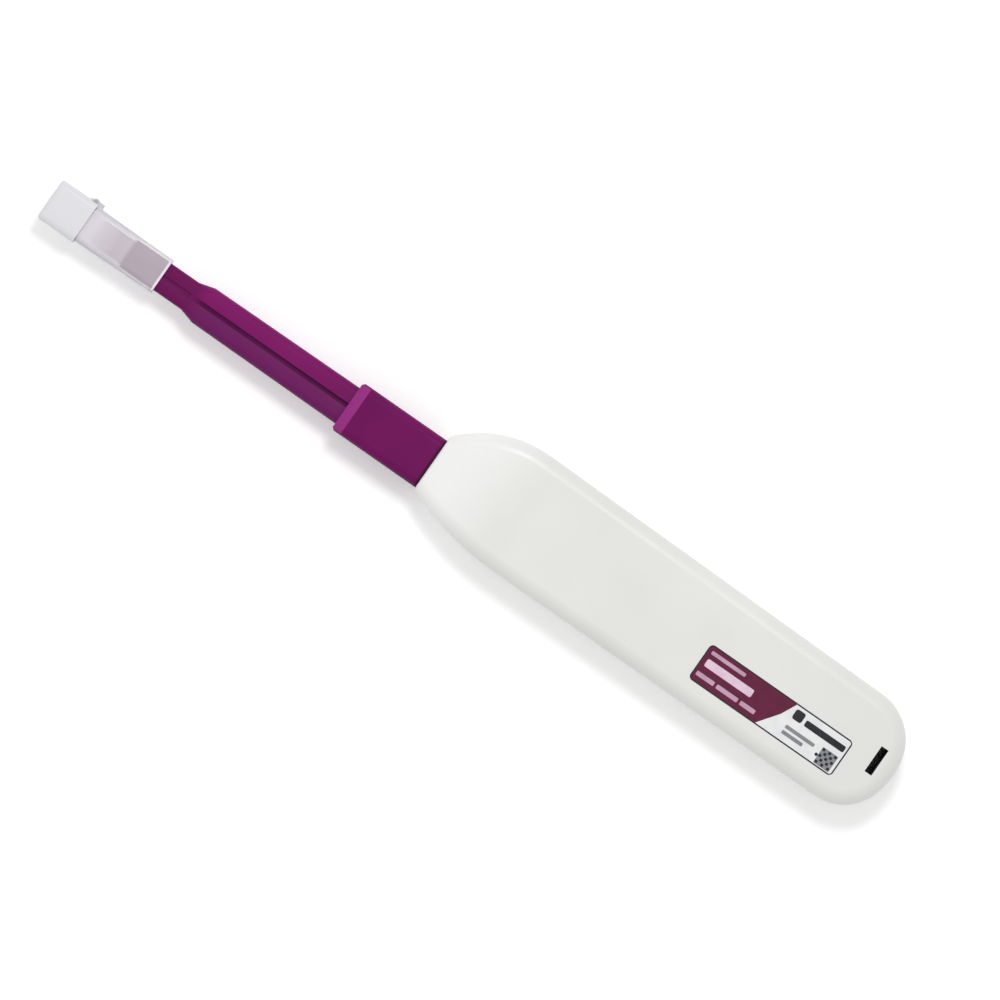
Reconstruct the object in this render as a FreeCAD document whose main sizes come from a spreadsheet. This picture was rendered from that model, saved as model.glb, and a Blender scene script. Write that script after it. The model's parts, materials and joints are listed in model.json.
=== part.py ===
import FreeCAD, Part
import math
import os
import re

import Sketcher

# Fibre connector cleaning pen with two cleaning channels, in millimetres.
# X runs along the pen to its tip, Z is up, and the origin is at the centre of the flat underside.
# Pushing the pen slides the housing over the carriage: a rack turns the drive gear, the gear's
# pawls turn the take-up reel, and two cleaning threads are drawn over the heads in the nozzle.

V = FreeCAD.Vector
Constraint = Sketcher.Constraint

SIZES = {
    # housing
    "housing_length": 130.7,
    "housing_width": 30.0,
    "housing_height": 18.0,
    "shell_wall": 1.6,
    "mouth_wall": 2.4,
    "edge_round": 3.5,
    "rim_round": 0.9,
    "side_taper": 0.8,           # degrees, the hollow side draws in towards the tail
    "shoulder_radius": 27.9,     # the full shoulder on the -Y side
    "shoulder_run": 21.55,
    "easy_radius": 66.8,         # the gentle shoulder on the +Y side
    "easy_run": 26.05,
    "tail_radius": 20.7,
    "tail_shift": 0.6,
    "tail_corner": 13.0,
    "easy_tail_corner": 12.0,
    "nose_run": 18.35,
    "nose_drop": 2.5,
    "lip_height": 1.0,
    "lip_gap": 0.05,
    "boss_radius": 2.2,
    "boss_front": 40.0,
    "boss_rear": -50.0,
    "boss_half_span": 11.6,
    "rear_boss_half_span": 9.6,
    "peg_radius": 1.0,
    "peg_height": 3.0,
    "peg_fit": 0.05,
    # label and strap slot
    "label_length": 40.6,
    "label_width": 9.7,
    "label_thickness": 0.2,
    "label_depth": 0.25,
    "label_corner": 1.2,
    "label_x": -32.9,
    "label_y": 4.36,
    "strap_slot_length": 7.1,
    "strap_slot_width": 1.95,
    "strap_setback": 5.35,       # from the tail end to the slot's centre
    "strap_pillar_wall": 1.2,
    # collar
    "axis_offset": 2.6,          # the nozzle lies off the housing's centre line
    "collar_width": 13.3,
    "collar_height": 10.4,
    "collar_reach": 24.05,
    "collar_corner": 2.2,
    "collar_wall": 1.3,
    "collar_front_wall": 2.5,
    "bevel_drop": 1.2,
    "bevel_side": 0.7,
    "slide_gap": 0.2,
    "stop_setback": 6.65,        # from the mouth to the back of the stop rib
    "stop_thickness": 1.6,
    "rest_gap": 0.2,
    "flange_thickness": 2.0,
    "flange_lip": 0.9,
    "seat_fit": 0.05,
    # nozzle
    "wide_rear_width": 10.2,
    "wide_front_width": 9.8,
    "wide_rear_height": 6.4,
    "wide_front_height": 6.0,
    "wide_length": 41.2,
    "wide_corner": 1.8,
    "flare_length": 3.9,
    "neck_width": 7.6,
    "neck_height": 3.8,
    "neck_corner": 1.3,
    "neck_length": 17.6,
    "tip_length": 8.8,
    "tip_radius": 1.7,
    "tip_chamfer": 0.3,
    "channel_pitch": 3.1,
    "channel_radius": 1.25,
    "groove_width": 1.2,
    "groove_depth": 0.8,
    "neck_groove_depth": 0.45,
    "root_flange": 2.0,
    # guide cap and lid
    "neck_bare": 8.0,            # neck left uncovered behind the cap
    "cap_length": 21.7,
    "cap_rear_width": 9.2,
    "cap_rear_height": 5.8,
    "cap_front_width": 9.8,
    "cap_front_height": 6.6,
    "cap_corner": 1.5,
    "cap_fit": 0.1,
    "bay_width": 8.2,
    "bay_height": 4.6,
    "bay_corner": 1.2,
    "rim_length": 1.4,
    "rim_wall": 0.4,
    "lid_length": 10.2,
    "lid_wall": 0.75,
    "lid_gap": 0.2,
    "lid_corner": 1.6,
    "lid_end_round": 0.8,
    "hinge_radius": 0.85,
    "hinge_pin_radius": 0.5,
    "hinge_fit": 0.06,
    "hinge_setback": 0.85,       # from the lid's rear face to the pin
    "hinge_outset": 0.05,        # from the lid's side face to the pin
    "knuckle_half_height": 1.5,
    "lug_gap": 0.12,
    "lug_thickness": 1.1,
    # drive
    "gear_module": 0.5,
    "gear_teeth": 20,
    "gear_width": 3.2,
    "tooth_backlash": 0.08,
    "rack_base": 1.175,
    "rack_teeth": 16,
    "rack_lead": 4,              # teeth ahead of the axle
    "axle_radius": 1.25,
    "axle_fit": 0.05,
    "plate_thickness": 1.4,
    "axial_gap": 0.2,
    "ratchet_teeth": 16,
    "ratchet_depth": 2.5,
    "ratchet_wall": 0.8,
    "ratchet_tooth": 0.5,
    "pawl_count": 3,
    "pawl_width": 0.7,
    "pawl_gap": 0.1,
    # reels
    "take_up_setback": 22.5,     # from the back of the collar flange to the take-up axle
    "reel_spacing": 26.0,
    "take_up_radius": 5.8,
    "supply_radius": 6.6,
    "reel_half_width": 3.5,
    "flange_disc": 0.8,
    "hub_radius": 2.2,
    "take_up_roll_radius": 3.5,
    "supply_roll_radius": 5.7,
    "thread_radius": 0.2,
    "thread_gap": 0.02,
    # chassis
    "chassis_top": 15.0,
    "chassis_bottom": 3.0,
    "front_wall": 1.5,
    "spigot_length": 7.5,
    "spigot_wall": 0.9,
    "bridge_half_height": 1.4,
    "bulkhead_setback": 16.0,
    "bulkhead_thickness": 2.0,
    "bulkhead_gap": 0.3,
    "cover_edge": 0.6,
    "rail_gap": 0.3,
    "rail_width": 1.3,
    "rail_height": 3.4,
    "rail_start": -30.0,
    "rail_end": 28.0,
    "guide_pin_radius": 0.75,
    "over_pin_ahead": 10.5,      # from the take-up axle to the pin that the threads pass over
    "inner_pin_setback": 4.5,    # from the back of the collar flange to the two inner pins
    "out_thread_height": 2.7,    # height of the outgoing threads over the nozzle axis there
    "back_thread_depth": 2.7,    # depth of the returning threads under it
    "bend_radius": 3.0,
    # cleaning heads
    "head_width": 1.8,
    "head_half_thickness": 0.45,
    "head_nose_ahead": 0.4,      # centre of the rounded nose, ahead of the nozzle's tips
    "head_collar_radius": 1.1,
    "head_collar_length": 1.0,
    "head_stem_radius": 0.5,
    "head_spring_length": 6.0,
    "head_spring_radius": 0.95,
    "head_spring_wire": 0.15,
    "head_spring_turns": 7,
    # return spring
    "spring_length": 35.0,
    "spring_radius": 3.15,
    "spring_wire": 0.35,
    "spring_turns": 11,
    "spring_boss_radius": 2.4,
    "spring_boss_length": 3.0,
    "spring_wall": 2.0,
    "spring_wall_half_width": 9.0,
}

doc = FreeCAD.newDocument("CleaningPen")
dim = doc.addObject("Spreadsheet::Sheet", "dim")
for row, (alias, size) in enumerate(SIZES.items(), start=1):
    dim.set(f"A{row}", alias)
    dim.set(f"B{row}", str(size))
    dim.setAlias(f"B{row}", alias)
doc.recompute()


# ---------------------------------------------------------------- formulas and sketches

def formula(text):
    """Point every size's name in the text at its cell of the sheet."""
    return re.sub(r"[a-z]\w+", lambda word: f"dim.{word[0]}" if word[0] in SIZES else word[0], text)


def value(text):
    """The number that a formula gives now."""
    return float(dim.evalExpression(formula(text)))


def bind(target, path, text):
    """Tie one property of an object to a formula."""
    target.setExpression(path, formula(text))


def new_body(name):
    body = doc.addObject("PartDesign::Body", name)
    body.Label = name
    return body


def place(item, x, y, z, axis=V(0, 0, 1), degrees=0):
    """Set a piece's direction, and tie its place to formulas."""
    item.Placement = FreeCAD.Placement(V(0, 0, 0), FreeCAD.Rotation(axis, degrees))
    for name, text in zip("xyz", (x, y, z)):
        bind(item, f"Placement.Base.{name}", text)


def new_sketch(body, plane, at="0"):
    """A sketch on one of the body's own planes, moved along the plane's axis to the place given."""
    sketch = body.newObject("Sketcher::SketchObject", f"{body.Label}_sketch")
    origin = next(item for item in body.Origin.OriginFeatures if item.Role == f"{plane}_Plane")
    sketch.AttachmentSupport = [(origin, "")]
    sketch.MapMode = "FlatFace"
    bind(sketch, "AttachmentOffset.Base.z", f"-({at})" if plane == "XZ" else at)
    return sketch


def fix(sketch, kind, text, *where):
    """Add a dimension and tie it to a formula."""
    index = sketch.addConstraint(Constraint(kind, *where, value(text)))
    bind(sketch, f"Constraints[{index}]", text)


def fix_point(sketch, edge, end, x=None, y=None):
    """Tie a point's distances from the sketch's origin to formulas."""
    if x is not None:
        fix(sketch, "DistanceX", x, -1, 1, edge, end)
    if y is not None:
        fix(sketch, "DistanceY", y, -1, 1, edge, end)


def polygon(sketch, corners):
    """A closed outline of straight lines through corners given as formulas."""
    points = [V(value(x), value(y), 0) for x, y in corners]
    first = sketch.GeometryCount
    for start, end in zip(points, points[1:] + points[:1]):
        sketch.addGeometry(Part.LineSegment(start, end), False)
    for index, (x, y) in enumerate(corners):
        before = first + (index - 1) % len(corners)
        sketch.addConstraint(Constraint("Coincident", before, 2, first + index, 1))
        fix_point(sketch, first + index, 1, x, y)


def rectangle(sketch, left, right, low, high):
    polygon(sketch, [(left, low), (right, low), (right, high), (left, high)])


def centred(sketch, x, y, width, height):
    """A rectangle about a centre."""
    rectangle(sketch, f"{x} - ({width}) / 2", f"{x} + ({width}) / 2",
              f"{y} - ({height}) / 2", f"{y} + ({height}) / 2")


def rounded(sketch, x, y, width, height, corner):
    """A rectangle about a centre, with round corners."""
    cx, cy, r = value(x), value(y), value(corner)
    w, h = value(width) / 2, value(height) / 2
    first = sketch.GeometryCount
    for side in range(4):
        turn = math.radians(90 * side)
        long, short = (w, h) if side % 2 == 0 else (h, w)
        start, end, centre = [V(cx + a * math.cos(turn) + b * math.sin(turn),
                                cy + a * math.sin(turn) - b * math.cos(turn), 0)
                              for a, b in ((r - long, short), (long - r, short), (long - r, short - r))]
        sketch.addGeometry(Part.LineSegment(start, end), False)
        circle_of_corner = Part.Circle(centre, V(0, 0, 1), r)
        sketch.addGeometry(Part.ArcOfCircle(circle_of_corner, turn - math.pi / 2, turn), False)
    for side in range(4):
        line = first + 2 * side
        sketch.addConstraint(Constraint("Tangent", line, 2, line + 1, 1))
        sketch.addConstraint(Constraint("Tangent", line + 1, 2, first + (2 * side + 2) % 8, 1))
        sketch.addConstraint(Constraint("Horizontal" if side % 2 == 0 else "Vertical", line))
        if side:
            sketch.addConstraint(Constraint("Equal", first + 1, line + 1))
    fix(sketch, "Radius", corner, first + 1)
    fix_point(sketch, first, 1, y=f"{y} - ({height}) / 2")
    fix_point(sketch, first + 2, 1, x=f"{x} + ({width}) / 2")
    fix_point(sketch, first + 4, 1, y=f"{y} + ({height}) / 2")
    fix_point(sketch, first + 6, 1, x=f"{x} - ({width}) / 2")


def circle(sketch, x, y, radius):
    ring = Part.Circle(V(value(x), value(y), 0), V(0, 0, 1), value(radius))
    index = sketch.addGeometry(ring, False)
    fix(sketch, "Radius", radius, index)
    fix_point(sketch, index, 3, x, y)


# ---------------------------------------------------------------- features

def extrude(body, kind, sketch, length, plane):
    feature = body.newObject(f"PartDesign::{kind}", f"{body.Label}_{kind.lower()}")
    feature.Profile = sketch
    bind(feature, "Length", length)
    feature.Reversed = (plane == "XZ") == (kind == "Pad")
    return feature


def pad(body, plane, at, length, draw):
    """Add material from one place along the plane's axis, in the axis's positive direction."""
    sketch = new_sketch(body, plane, at)
    draw(sketch)
    return extrude(body, "Pad", sketch, length, plane)


def cut(body, plane, at, length, draw):
    """Take material away from one place along the plane's axis, in its positive direction."""
    sketch = new_sketch(body, plane, at)
    draw(sketch)
    return extrude(body, "Pocket", sketch, length, plane)


def loft(body, draw, *sections):
    """Join sections across X: each is its place along X and the sizes that draw it."""
    sketches = []
    for x, *size in sections:
        sketch = new_sketch(body, "YZ", x)
        draw(sketch, AXIS_Y, AXIS_Z, *size)
        sketches.append(sketch)
    feature = body.newObject("PartDesign::AdditiveLoft", f"{body.Label}_loft")
    feature.Profile = sketches[0]
    feature.Sections = sketches[1:]
    feature.Ruled = True
    return feature


def revolve(body, corners):
    """Turn a profile of (radius, height) corners about the body's own Z axis."""
    sketch = new_sketch(body, "XZ")
    polygon(sketch, corners)
    feature = body.newObject("PartDesign::Revolution", f"{body.Label}_turned")
    feature.Profile = sketch
    feature.ReferenceAxis = (sketch, ["V_Axis"])
    feature.Angle = 360
    return feature


def around(body, feature, copies):
    """Repeat a feature round the body's own Z axis."""
    pattern = body.newObject("PartDesign::PolarPattern", f"{body.Label}_ring")
    pattern.Originals = [feature]
    pattern.Axis = (feature.Profile[0], ["N_Axis"])
    bind(pattern, "Occurrences", copies)
    body.Tip = pattern
    return pattern


def dress(body, kind, path, size, chosen):
    """Fillet or chamfer the edges that a test picks."""
    doc.recompute()
    names = [f"Edge{number}" for number, edge in enumerate(body.Shape.Edges, start=1) if chosen(edge)]
    feature = body.newObject(f"PartDesign::{kind}", f"{body.Label}_{kind.lower()}")
    feature.Base = (body.Tip if body.Tip != feature else feature.BaseFeature, names)
    bind(feature, path, size)
    return feature


def join(kind, name, *items):
    """A boolean of whole pieces: Cut and Common take two, MultiFuse any number."""
    result = doc.addObject(f"Part::{kind}", name)
    result.Label = name
    if kind == "MultiFuse":
        result.Shapes = list(items)
    else:
        result.Base, result.Tool = items
    result.Refine = True
    return result


def block(name, x, y, z, length, width, height):
    """A box from its lowest corner."""
    box = doc.addObject("Part::Box", name)
    box.Label = name
    for path, text in zip(("Length", "Width", "Height"), (length, width, height)):
        bind(box, path, text)
    place(box, x, y, z)
    return box


def rod(name, x, y, z, radius, length, axis=V(0, 0, 1), degrees=0):
    """A cylinder from the centre of its first end."""
    cylinder = doc.addObject("Part::Cylinder", name)
    cylinder.Label = name
    bind(cylinder, "Radius", radius)
    bind(cylinder, "Height", length)
    place(cylinder, x, y, z, axis, degrees)
    return cylinder


ALONG_X = (V(0, 1, 0), 90)
ALONG_Y = (V(1, 0, 0), -90)

# ---------------------------------------------------------------- places along the pen

AXIS_Y = "axis_offset"
AXIS_Z = "(housing_height / 2)"
MOUTH_X = "(housing_length / 2)"
STOP_X = f"({MOUTH_X} - stop_setback)"
FLANGE_FRONT = f"({STOP_X} - rest_gap)"
FLANGE_REAR = f"({FLANGE_FRONT} - flange_thickness)"
COLLAR_FRONT = f"({MOUTH_X} + collar_reach)"
THROAT_REAR = f"({COLLAR_FRONT} - collar_front_wall)"
NOZZLE_REAR = f"({THROAT_REAR} - root_flange)"
WIDE_END = f"({COLLAR_FRONT} + wide_length)"
NECK_START = f"({WIDE_END} + flare_length)"
NECK_END = f"({NECK_START} + neck_length)"
TIP_END = f"({NECK_END} + tip_length)"
CAP_REAR = f"({NECK_START} + neck_bare)"
CAP_FRONT = f"({CAP_REAR} + cap_length)"
LID_REAR = f"({CAP_FRONT} + lid_gap)"
TAKE_UP_X = f"({FLANGE_REAR} - take_up_setback)"
SUPPLY_X = f"({TAKE_UP_X} - reel_spacing)"
BULKHEAD_REAR = f"({SUPPLY_X} - bulkhead_setback - bulkhead_thickness)"
BULKHEAD_FRONT = f"({SUPPLY_X} - bulkhead_setback)"
SPRING_REAR = f"({BULKHEAD_REAR} - spring_length)"
STRAP_X = "(strap_setback - housing_length / 2)"

GEAR_RADIUS = "(gear_module * gear_teeth / 2)"
RACK_PITCH_Z = "(shell_wall + rack_base + 1.25 * gear_module)"
GEAR_Z = f"({RACK_PITCH_Z} + {GEAR_RADIUS})"

# Across the carriage: reels about the nozzle axis, then the ratchet, the gear and the side plate.
COVER_Y = f"({AXIS_Y} + reel_half_width + 0.5 + axial_gap)"
RATCHET_Y = f"({AXIS_Y} - reel_half_width - ratchet_depth)"
GEAR_FACE_Y = f"({RATCHET_Y} - axial_gap)"
GEAR_Y = f"({GEAR_FACE_Y} - gear_width)"
PLATE_FACE_Y = f"({GEAR_Y} - axial_gap)"
PLATE_Y = f"({PLATE_FACE_Y} - plate_thickness)"
CHASSIS_WIDTH = f"({COVER_Y} + plate_thickness - {PLATE_Y})"

THREAD_OUT = "(head_half_thickness + thread_radius + thread_gap)"
OUT_Z = f"({AXIS_Z} + supply_roll_radius + thread_radius)"
PIN_BEND = "(guide_pin_radius + thread_radius + thread_gap)"
OVER_PIN_X = f"({TAKE_UP_X} + over_pin_ahead)"
OVER_PIN_Z = f"({OUT_Z} - {PIN_BEND})"
INNER_PIN_X = f"({FLANGE_REAR} - inner_pin_setback)"
OUT_PIN_Z = f"({AXIS_Z} + out_thread_height + {PIN_BEND})"
BACK_PIN_Z = f"({AXIS_Z} - back_thread_depth + {PIN_BEND})"
HEAD_NOSE_X = f"({TIP_END} + head_nose_ahead)"
SPIGOT_FRONT = f"({FLANGE_REAR} + flange_thickness + spigot_length)"
HEAD_REAR = f"({SPIGOT_FRONT} + head_spring_length)"


# ---------------------------------------------------------------- housing

def housing_outline(sketch, inset, mouth_inset):
    """The housing's outline seen from above, drawn in from the outside by an inset."""
    taper = math.radians(value("side_taper"))
    front = value(f"{MOUTH_X} - ({mouth_inset})")
    side = value(f"housing_width / 2 - ({inset})")
    radii = ["easy_radius", "easy_tail_corner", "tail_radius", "tail_corner", "shoulder_radius"]
    easy, far_corner, bow, near_corner, shoulder = [value(f"{name} - ({inset})") for name in radii]
    shoulder_x = f"{MOUTH_X} - shoulder_run + shoulder_radius * sin(side_taper)"
    shoulder_y = "shoulder_radius * cos(side_taper) - housing_width / 2"
    easy_x = f"{MOUTH_X} - easy_run"
    bow_x = f"tail_radius - {MOUTH_X}"
    c_shoulder = V(value(shoulder_x), value(shoulder_y), 0)
    c_easy = V(value(easy_x), side - easy, 0)
    c_bow = V(value(bow_x), value("tail_shift"), 0)
    up = V(math.sin(taper), math.cos(taper), 0)
    back = V(-math.cos(taper), math.sin(taper), 0)
    y_far = side - far_corner
    c_far = V(c_bow.x - math.sqrt((bow - far_corner) ** 2 - (y_far - c_bow.y) ** 2), y_far, 0)
    on_line = c_shoulder - up * (shoulder - near_corner)
    along = (c_bow - on_line).dot(back)
    off = (c_bow - on_line - back * along).Length
    c_near = on_line + back * (along + math.sqrt((bow - near_corner) ** 2 - off ** 2))
    low = V(front, c_shoulder.y - math.sqrt(shoulder ** 2 - (front - c_shoulder.x) ** 2), 0)
    high = V(front, c_easy.y + math.sqrt(easy ** 2 - (front - c_easy.x) ** 2), 0)
    bow_to_far = c_bow + (c_far - c_bow).normalize() * bow
    bow_to_near = c_bow + (c_near - c_bow).normalize() * bow

    def line(start, end):
        sketch.addGeometry(Part.LineSegment(start, end), False)

    def arc(centre, radius, start, end):
        angles = [math.atan2((point - centre).y, (point - centre).x) for point in (start, end)]
        sketch.addGeometry(Part.ArcOfCircle(Part.Circle(centre, V(0, 0, 1), radius), *angles), False)

    line(low, high)
    arc(c_easy, easy, high, V(c_easy.x, side, 0))
    line(V(c_easy.x, side, 0), V(c_far.x, side, 0))
    arc(c_far, far_corner, V(c_far.x, side, 0), bow_to_far)
    arc(c_bow, bow, bow_to_far, bow_to_near)
    arc(c_near, near_corner, bow_to_near, c_near - up * near_corner)
    line(c_near - up * near_corner, c_shoulder - up * shoulder)
    arc(c_shoulder, shoulder, c_shoulder - up * shoulder, low)

    sketch.addConstraint(Constraint("Coincident", 0, 2, 1, 1))
    for edge in range(1, 7):
        sketch.addConstraint(Constraint("Tangent", edge, 2, edge + 1, 1))
    sketch.addConstraint(Constraint("Coincident", 7, 2, 0, 1))
    for edge, name in zip((1, 3, 4, 5, 7), radii):
        fix(sketch, "Radius", f"{name} - ({inset})", edge)
    sketch.addConstraint(Constraint("Vertical", 0))
    fix_point(sketch, 0, 1, x=f"{MOUTH_X} - ({mouth_inset})")
    sketch.addConstraint(Constraint("Horizontal", 2))
    fix_point(sketch, 2, 1, y=f"housing_width / 2 - ({inset})")
    fix_point(sketch, 7, 3, shoulder_x, shoulder_y)
    fix_point(sketch, 1, 3, x=easy_x)
    fix_point(sketch, 4, 3, bow_x, "tail_shift")
    index = sketch.addConstraint(Constraint("Angle", 6, -taper))
    bind(sketch, f"Constraints[{index}]", "-side_taper * 1 deg")


def nose_arc(sketch, inset, sign):
    """The space over (+1) or under (-1) the nose's curved slope, to be cut away."""
    radius = f"((nose_run ^ 2 + nose_drop ^ 2) / (2 * nose_drop) - ({inset}))"
    flat = f"({AXIS_Z} + {sign} * ({AXIS_Z} - ({inset})))"
    beyond = f"({AXIS_Z} + {sign} * ({AXIS_Z} + 1))"
    start_x = f"({MOUTH_X} - nose_run)"
    end_x = f"({MOUTH_X} + 1)"
    x0, x1, r = value(start_x), value(end_x), value(radius)
    z0, z_out = value(flat), value(beyond)
    centre = V(x0, z0 - sign * r, 0)
    swing = math.asin((x1 - x0) / r)
    end = V(x1, centre.y + sign * r * math.cos(swing), 0)
    angles = (math.pi / 2 - swing, math.pi / 2) if sign > 0 else (-math.pi / 2, swing - math.pi / 2)
    sketch.addGeometry(Part.ArcOfCircle(Part.Circle(centre, V(0, 0, 1), r), *angles), False)
    at_start, at_end = (2, 1) if sign > 0 else (1, 2)
    corners = [end, V(x1, z_out, 0), V(x0, z_out, 0), V(x0, z0, 0)]
    for start, stop in zip(corners, corners[1:]):
        sketch.addGeometry(Part.LineSegment(start, stop), False)
    sketch.addConstraint(Constraint("Coincident", 0, at_end, 1, 1))
    sketch.addConstraint(Constraint("Coincident", 1, 2, 2, 1))
    sketch.addConstraint(Constraint("Coincident", 2, 2, 3, 1))
    sketch.addConstraint(Constraint("Coincident", 3, 2, 0, at_start))
    fix(sketch, "Radius", radius, 0)
    fix_point(sketch, 0, 3, start_x, f"{flat} - {sign} * {radius}")
    sketch.addConstraint(Constraint("Vertical", 3))
    sketch.addConstraint(Constraint("Vertical", 1))
    sketch.addConstraint(Constraint("Horizontal", 2))
    fix_point(sketch, 0, at_start, x=start_x)
    fix_point(sketch, 1, 2, end_x, beyond)


def housing_form(name, inset, mouth_inset):
    """The housing's whole form as one solid, drawn in by an inset: the outside, or the cavity."""
    body = new_body(name)
    pad(body, "XY", inset, f"housing_height - 2 * ({inset})",
        lambda sketch: housing_outline(sketch, inset, mouth_inset))
    for sign in (1, -1):
        cut(body, "XZ", "-housing_width", "2 * housing_width",
            lambda sketch: nose_arc(sketch, inset, sign))
    middle = value(AXIS_Z)
    reach = value(f"{AXIS_Z} - nose_drop - ({inset})")

    def on_long_edge(edge):
        first, last = edge.Vertexes[0].Point, edge.Vertexes[-1].Point
        across = isinstance(edge.Curve, Part.Line) and abs(first.x - last.x) < 1e-4
        half_way = edge.valueAt((edge.FirstParameter + edge.LastParameter) / 2)
        return not across and abs(half_way.z - middle) > reach - 1e-4

    dress(body, "Fillet", "Radius", f"edge_round - ({inset})", on_long_edge)
    return body


def lip_ring(name, inset, height):
    """A low wall along the parting plane, inside the outline at the inset given."""
    ring = new_body(name)
    pad(ring, "XY", AXIS_Z, height, lambda sketch: housing_outline(sketch, inset, inset))
    return ring


def in_both_halves(name, x0, x1, y0, y1):
    """An upright wall from the floor to the ceiling of the housing."""
    return block(name, x0, y0, "shell_wall / 2", f"({x1}) - ({x0})", f"({y1}) - ({y0})",
                 "housing_height - shell_wall")


outside = housing_form("housing_outside", "0", "0")
cavity = housing_form("housing_cavity", "shell_wall", "mouth_wall")

rim_x = value(MOUTH_X)
dress(outside, "Fillet", "Radius", "rim_round",
      lambda edge: all(abs(vertex.X - rim_x) < 1e-4 for vertex in edge.Vertexes))

bosses = []
boss_places = []
for x, span in (("boss_front", "boss_half_span"), ("boss_rear", "rear_boss_half_span")):
    for side in ("", "-"):
        boss_places.append((x, f"{side}{span}"))
for index, (x, y) in enumerate(boss_places):
    bosses.append(rod(f"boss_{index}", x, y, "shell_wall / 2", "boss_radius",
                      "housing_height - shell_wall"))

# Rails on the floor and the ceiling, beside the carriage.
rails = []
for side, y in (("near", f"{PLATE_Y} - rail_gap - rail_width"),
                ("far", f"{PLATE_Y} + {CHASSIS_WIDTH} + rail_gap")):
    for level, z in (("floor", "shell_wall / 2"),
                     ("ceiling", "housing_height - shell_wall - rail_height")):
        rails.append(block(f"rail_{side}_{level}", "rail_start", y, z, "rail_end - rail_start",
                           "rail_width", "rail_height + shell_wall / 2"))

stop_rib = in_both_halves("stop_rib", STOP_X, f"{STOP_X} + stop_thickness",
                          "-housing_width / 2", "housing_width / 2")
spring_seat = in_both_halves("spring_seat", f"{SPRING_REAR} - spring_wall", SPRING_REAR,
                             f"{AXIS_Y} - spring_wall_half_width", f"{AXIS_Y} + spring_wall_half_width")
spring_boss = rod("spring_boss", SPRING_REAR, AXIS_Y, AXIS_Z, "spring_boss_radius",
                  "spring_boss_length", *ALONG_X)
strap_pillar = in_both_halves("strap_pillar",
                              f"{STRAP_X} - strap_slot_width / 2 - strap_pillar_wall",
                              f"{STRAP_X} + strap_slot_width / 2 + strap_pillar_wall",
                              "-strap_slot_length / 2 - strap_pillar_wall",
                              "strap_slot_length / 2 + strap_pillar_wall")
strap_slot = block("strap_slot", f"{STRAP_X} - strap_slot_width / 2", "-strap_slot_length / 2", "-1",
                   "strap_slot_width", "strap_slot_length", "housing_height + 2")

passage = new_body("mouth_passage")
pad(passage, "YZ", f"{STOP_X} - 1", "stop_setback + 2",
    lambda sketch: rounded(sketch, AXIS_Y, AXIS_Z, "collar_width + 2 * slide_gap",
                           "collar_height + 2 * slide_gap", "collar_corner + slide_gap"))

skin = join("Cut", "housing_skin", outside, cavity)
inside_walls = join("MultiFuse", "inside_walls", *bosses, *rails, stop_rib, spring_seat, spring_boss,
                    strap_pillar)
outside_again = housing_form("trim_form", "shell_wall / 2", "mouth_wall / 2")
trimmed_walls = join("Common", "trimmed_walls", inside_walls, outside_again)
openings = join("MultiFuse", "housing_openings", passage, strap_slot)
closed_housing = join("MultiFuse", "closed_housing", skin, trimmed_walls)
housing = join("Cut", "housing_whole", closed_housing, openings)

lower_space = block("lower_space", f"-{MOUTH_X} - 5", "-housing_width", "-5", "housing_length + 10",
                    "2 * housing_width", f"{AXIS_Z} + 5")

lip_outer = lip_ring("lip_outer", "shell_wall / 2 + lip_gap", "lip_height")
lip_inner = lip_ring("lip_inner", "shell_wall", "2 * lip_height")
rebate_outer = lip_ring("rebate_outer", "shell_wall / 2", "lip_height + lip_gap")
lip = join("Cut", "lip_whole", join("Cut", "lip_closed", lip_outer, lip_inner), passage)
rebate = join("Cut", "lip_rebate", rebate_outer, lip_inner)

pegs = [rod(f"peg_{index}", x, y, f"{AXIS_Z} - 1", "peg_radius", "peg_height + 1")
        for index, (x, y) in enumerate(boss_places)]
peg_holes = [rod(f"peg_hole_{index}", x, y, f"{AXIS_Z} - 1", "peg_radius + peg_fit", "peg_height + 1.3")
             for index, (x, y) in enumerate(boss_places)]


def rack_tooth(sketch):
    """One rack tooth with straight flanks at 20 degrees, at the rear end of the rack."""
    pitch_half = "(pi * gear_module / 4 - tooth_backlash / 2)"
    tip, root = "(0.85 * gear_module)", "(1.25 * gear_module)"
    corners = [(f"{pitch_half} + {root} * tan(20)", f"-{root} - 0.1"),
               (f"{pitch_half} - {tip} * tan(20)", tip)]
    profile = [(f"{RACK_FIRST_X} + {x}", f"{RACK_PITCH_Z} + {z}") for x, z in corners]
    mirrored = [(f"{RACK_FIRST_X} - ({x})", f"{RACK_PITCH_Z} + {z}") for x, z in reversed(corners)]
    polygon(sketch, profile + mirrored)


# At rest a gear tooth points straight down from the axle, into a gap of the rack.
RACK_FIRST_X = f"({TAKE_UP_X} + (rack_lead - rack_teeth + 0.5) * pi * gear_module)"

rack = new_body("rack")
pad(rack, "XZ", GEAR_Y, "gear_width",
    lambda sketch: rectangle(sketch, f"{RACK_FIRST_X} - pi * gear_module",
                             f"{TAKE_UP_X} + (rack_lead + 0.5) * pi * gear_module",
                             "shell_wall / 2", f"{RACK_PITCH_Z} - 1.25 * gear_module"))
tooth = pad(rack, "XZ", GEAR_Y, "gear_width", rack_tooth)
row_of_teeth = rack.newObject("PartDesign::LinearPattern", "rack_row")
row_of_teeth.Originals = [tooth]
row_of_teeth.Direction = (tooth.Profile[0], ["H_Axis"])
bind(row_of_teeth, "Length", "(rack_teeth - 1) * pi * gear_module")
bind(row_of_teeth, "Occurrences", "rack_teeth")
rack.Tip = row_of_teeth

label_recess = new_body("label_recess")
pad(label_recess, "XY", "housing_height - label_depth", "1",
    lambda sketch: rounded(sketch, "label_x", "label_y", "label_length + 0.1", "label_width + 0.1",
                           "label_corner"))

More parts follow.
